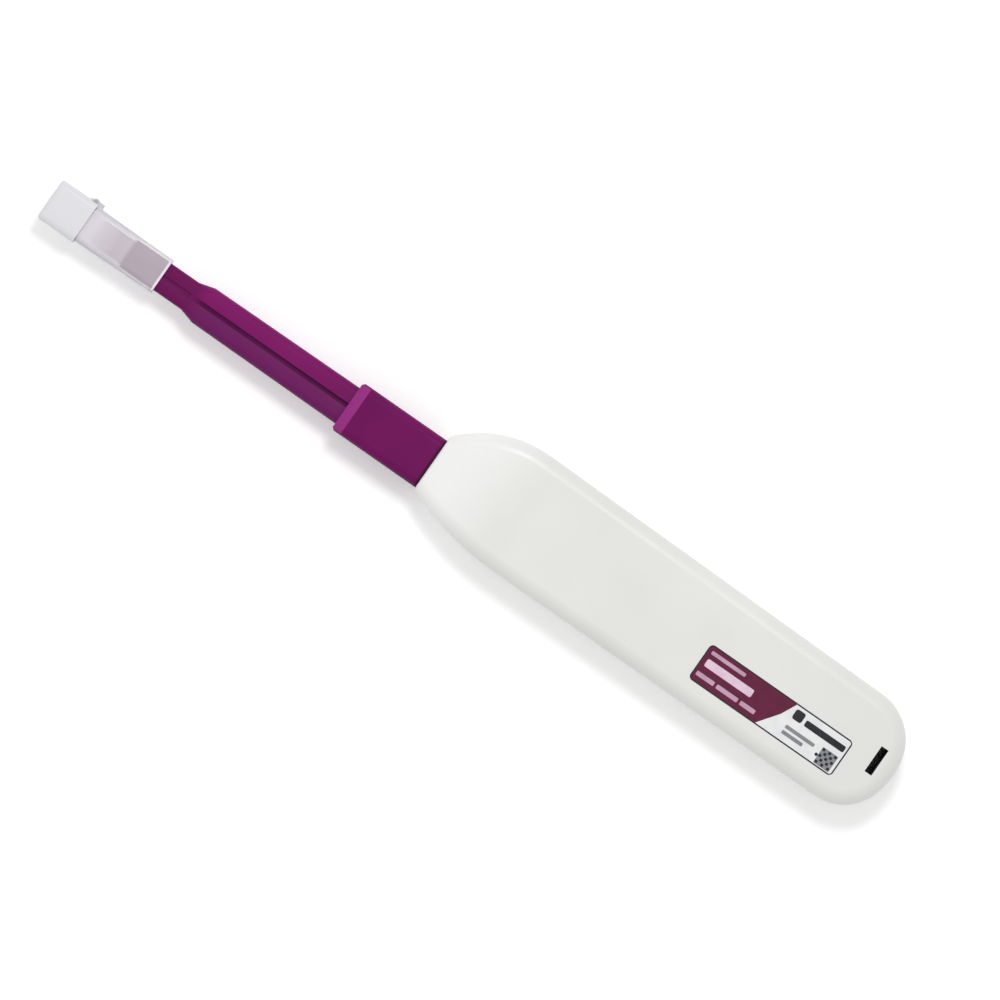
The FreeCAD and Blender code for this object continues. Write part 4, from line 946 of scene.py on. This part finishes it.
SPRINGS: list[CoilSpring] = [
    CoilSpring(name="return_coil", node="return_spring", body=Body.HOUSING, joint="push_stroke",
               rear=-45.0, front=-10.0, centre_y=2.6, centre_z=9.0, coil_radius=3.15,
               wire_radius=0.35, turns=11, anchor_x=-45.0, keep=22 / 35),
    CoilSpring(name="head_coil_left", node="head_spring_left", body=Body.CARRIAGE,
               joint="head_press_left", rear=66.0, front=72.0, centre_y=1.05, centre_z=9.0,
               coil_radius=0.95, wire_radius=0.15, turns=7, anchor_x=66.0, keep=5 / 6),
    CoilSpring(name="head_coil_right", node="head_spring_right", body=Body.CARRIAGE,
               joint="head_press_right", rear=66.0, front=72.0, centre_y=4.15, centre_z=9.0,
               coil_radius=0.95, wire_radius=0.15, turns=7, anchor_x=66.0, keep=5 / 6),
]


@dataclass
class Nozzle:
    """The collar and the long nozzle, with moulded edge rounds."""

    collar_edge: float = 0.3
    nozzle_edge: float = 0.14

    def build(self, palette: Palette) -> None:
        """Model and dress both mouldings.

        Args:
            palette: The finishes.
        """
        softened("nozzle_collar", "collar_moulding", Body.CARRIAGE, "collar_plastic", palette,
                 self.collar_edge)
        softened("nozzle", "nozzle_moulding", Body.CARRIAGE, "nozzle_plastic", palette,
                 self.nozzle_edge)


@dataclass
class Cap:
    """The frosted guide cap and its hinged lid. Lengths are in millimetres."""

    cap_edge: float = 0.12
    lid_edge: float = 0.3
    hinge_reach: float = 2.2

    def __post_init__(self) -> None:
        """Find the hinge from its pin in the CAD."""
        low, high = [Vector(corner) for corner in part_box("lid_pin")]
        self.hinge = (low + high) / 2

    def at_hinge(self, point: Vector) -> bool:
        """Whether a place is on the hinge's lugs or knuckle, where edges stay as cut."""
        off = point - self.hinge
        return math.hypot(off.x, off.y) < self.hinge_reach * MM

    def build(self, palette: Palette) -> None:
        """Model and dress both mouldings.

        Args:
            palette: The finishes.
        """
        softened("guide_cap", "cap_moulding", Body.CAP, "frosted_plastic", palette, self.cap_edge,
                 self.at_hinge)
        softened("cap_lid", "lid_moulding", Body.LID, "lid_plastic", palette, self.lid_edge,
                 self.at_hinge)


# ---------------------------------------------------------------- studio


@dataclass
class Studio:
    """A white table, one soft lamp high over the near side, and a camera straight above, in metres."""

    lens: float = 350.0
    roll_degrees: float = 214.87
    centre: tuple[float, float, float] = (0.04734, 0.00028, 0.012)
    distance: float = 2.284
    lamp_place: tuple[float, float, float] = (0.12, -0.265, 0.735)
    lamp_size: float = 0.16
    lamp_power: float = 2.05
    sky_strength: float = 0.7
    table_glow: float = 0.18
    floor_size: float = 4.0
    sensor: float = 36.0
    nearest: float = 0.01

    def floor(self) -> None:
        """The table top, with a fine tooth that keeps the shadow soft."""
        bpy.ops.object.select_all(action="DESELECT")
        bpy.ops.mesh.primitive_plane_add(size=self.floor_size, location=(0.0, 0.0, 0.0))
        table = bpy.context.view_layer.objects.active
        table.name = "table_top"
        material, tree = empty_material("matt_white_card")
        place = place_on_object(tree)
        tooth = add(tree, "ShaderNodeTexNoise", {"Vector": place, "Scale": per_metre(1.5)})
        colour = mixed_colour(tree, tooth.outputs[0], linear("FCFCFC"), linear("FEFEFE"))
        shader = add(tree, "ShaderNodeBsdfPrincipled",
                     {"Base Color": colour, "Roughness": 0.9, "Specular IOR Level": 0.1})
        # The card is a little brighter to the eye than the light it gives the pen, except where
        # it lies at the bottom of the strap slot.
        rays = add(tree, "ShaderNodeLightPath")
        seen = rays.outputs["Is Camera Ray"]
        for kind in ("Is Glossy Ray", "Is Transmission Ray"):
            seen = add(tree, "ShaderNodeMath", {0: seen, 1: rays.outputs[kind]},
                       operation="MAXIMUM").outputs[0]
        bright = remapped(tree, SLOT_SHADE.share(tree, place), 0.0, 1.0, self.table_glow, 0.0)
        strength = add(tree, "ShaderNodeMath", {0: seen, 1: bright}, operation="MULTIPLY")
        glow = add(tree, "ShaderNodeEmission", {"Strength": strength.outputs[0]})
        both = add(tree, "ShaderNodeAddShader", {0: shader.outputs[0], 1: glow.outputs[0]})
        finish_tree(tree, both.outputs[0])
        table.data.materials.append(material)

    def sky(self) -> None:
        """Even light from all round, white where the camera sees it."""
        world = bpy.data.worlds.new("soft_room")
        world.use_nodes = True
        tree = world.node_tree
        tree.nodes.clear()
        rays = add(tree, "ShaderNodeLightPath")
        seen = add(tree, "ShaderNodeBackground", {"Color": (1.0, 1.0, 1.0, 1.0), "Strength": 1.0})
        lit = add(tree, "ShaderNodeBackground", {"Color": (1.0, 1.0, 1.0, 1.0),
                                                 "Strength": self.sky_strength})
        either = add(tree, "ShaderNodeMath", {0: rays.outputs["Is Camera Ray"],
                                              1: rays.outputs["Is Transmission Ray"]},
                     operation="MAXIMUM")
        mix = add(tree, "ShaderNodeMixShader", {0: either.outputs[0], 1: lit.outputs[0],
                                                2: seen.outputs[0]})
        add(tree, "ShaderNodeOutputWorld", {"Surface": mix.outputs[0]})
        bpy.context.scene.world = world

    def lamp(self) -> None:
        """The soft lamp, turned to the pen."""
        bpy.ops.object.light_add(type="AREA", location=self.lamp_place)
        lamp = bpy.context.view_layer.objects.active
        lamp.name = "soft_lamp"
        lamp.data.shape = "SQUARE"
        lamp.data.size = self.lamp_size
        lamp.data.energy = self.lamp_power
        aim = Vector(self.centre) - Vector(self.lamp_place)
        lamp.rotation_euler = aim.to_track_quat("-Z", "Y").to_euler()

    def camera(self) -> None:
        """The camera, straight above, turned so that the nozzle points to the upper left."""
        x, y, z = self.centre
        bpy.ops.object.camera_add(location=(x, y, z + self.distance),
                                  rotation=(0.0, 0.0, math.radians(self.roll_degrees)))
        camera = bpy.context.view_layer.objects.active
        camera.name = "top_camera"
        camera.data.lens = self.lens
        camera.data.sensor_width = self.sensor
        camera.data.clip_start = self.nearest
        bpy.context.scene.camera = camera

    def build(self) -> None:
        """Set up the table, the light and the camera."""
        self.floor()
        self.sky()
        self.lamp()
        self.camera()
        bpy.context.scene.view_settings.view_transform = "Standard"
        log.info("studio: table, room light, lamp and camera")


def main() -> None:
    """Build and dress the pen, then the studio."""
    logging.basicConfig(level=logging.INFO, format="%(name)s %(message)s")
    palette = Palette()
    palette.carry_over()
    PrintedLabel().build(palette)
    Nozzle().build(palette)
    Cap().build(palette)
    for spring in SPRINGS:
        spring.build(palette)
    Studio().build()


if __name__ == "__main__":
    main()
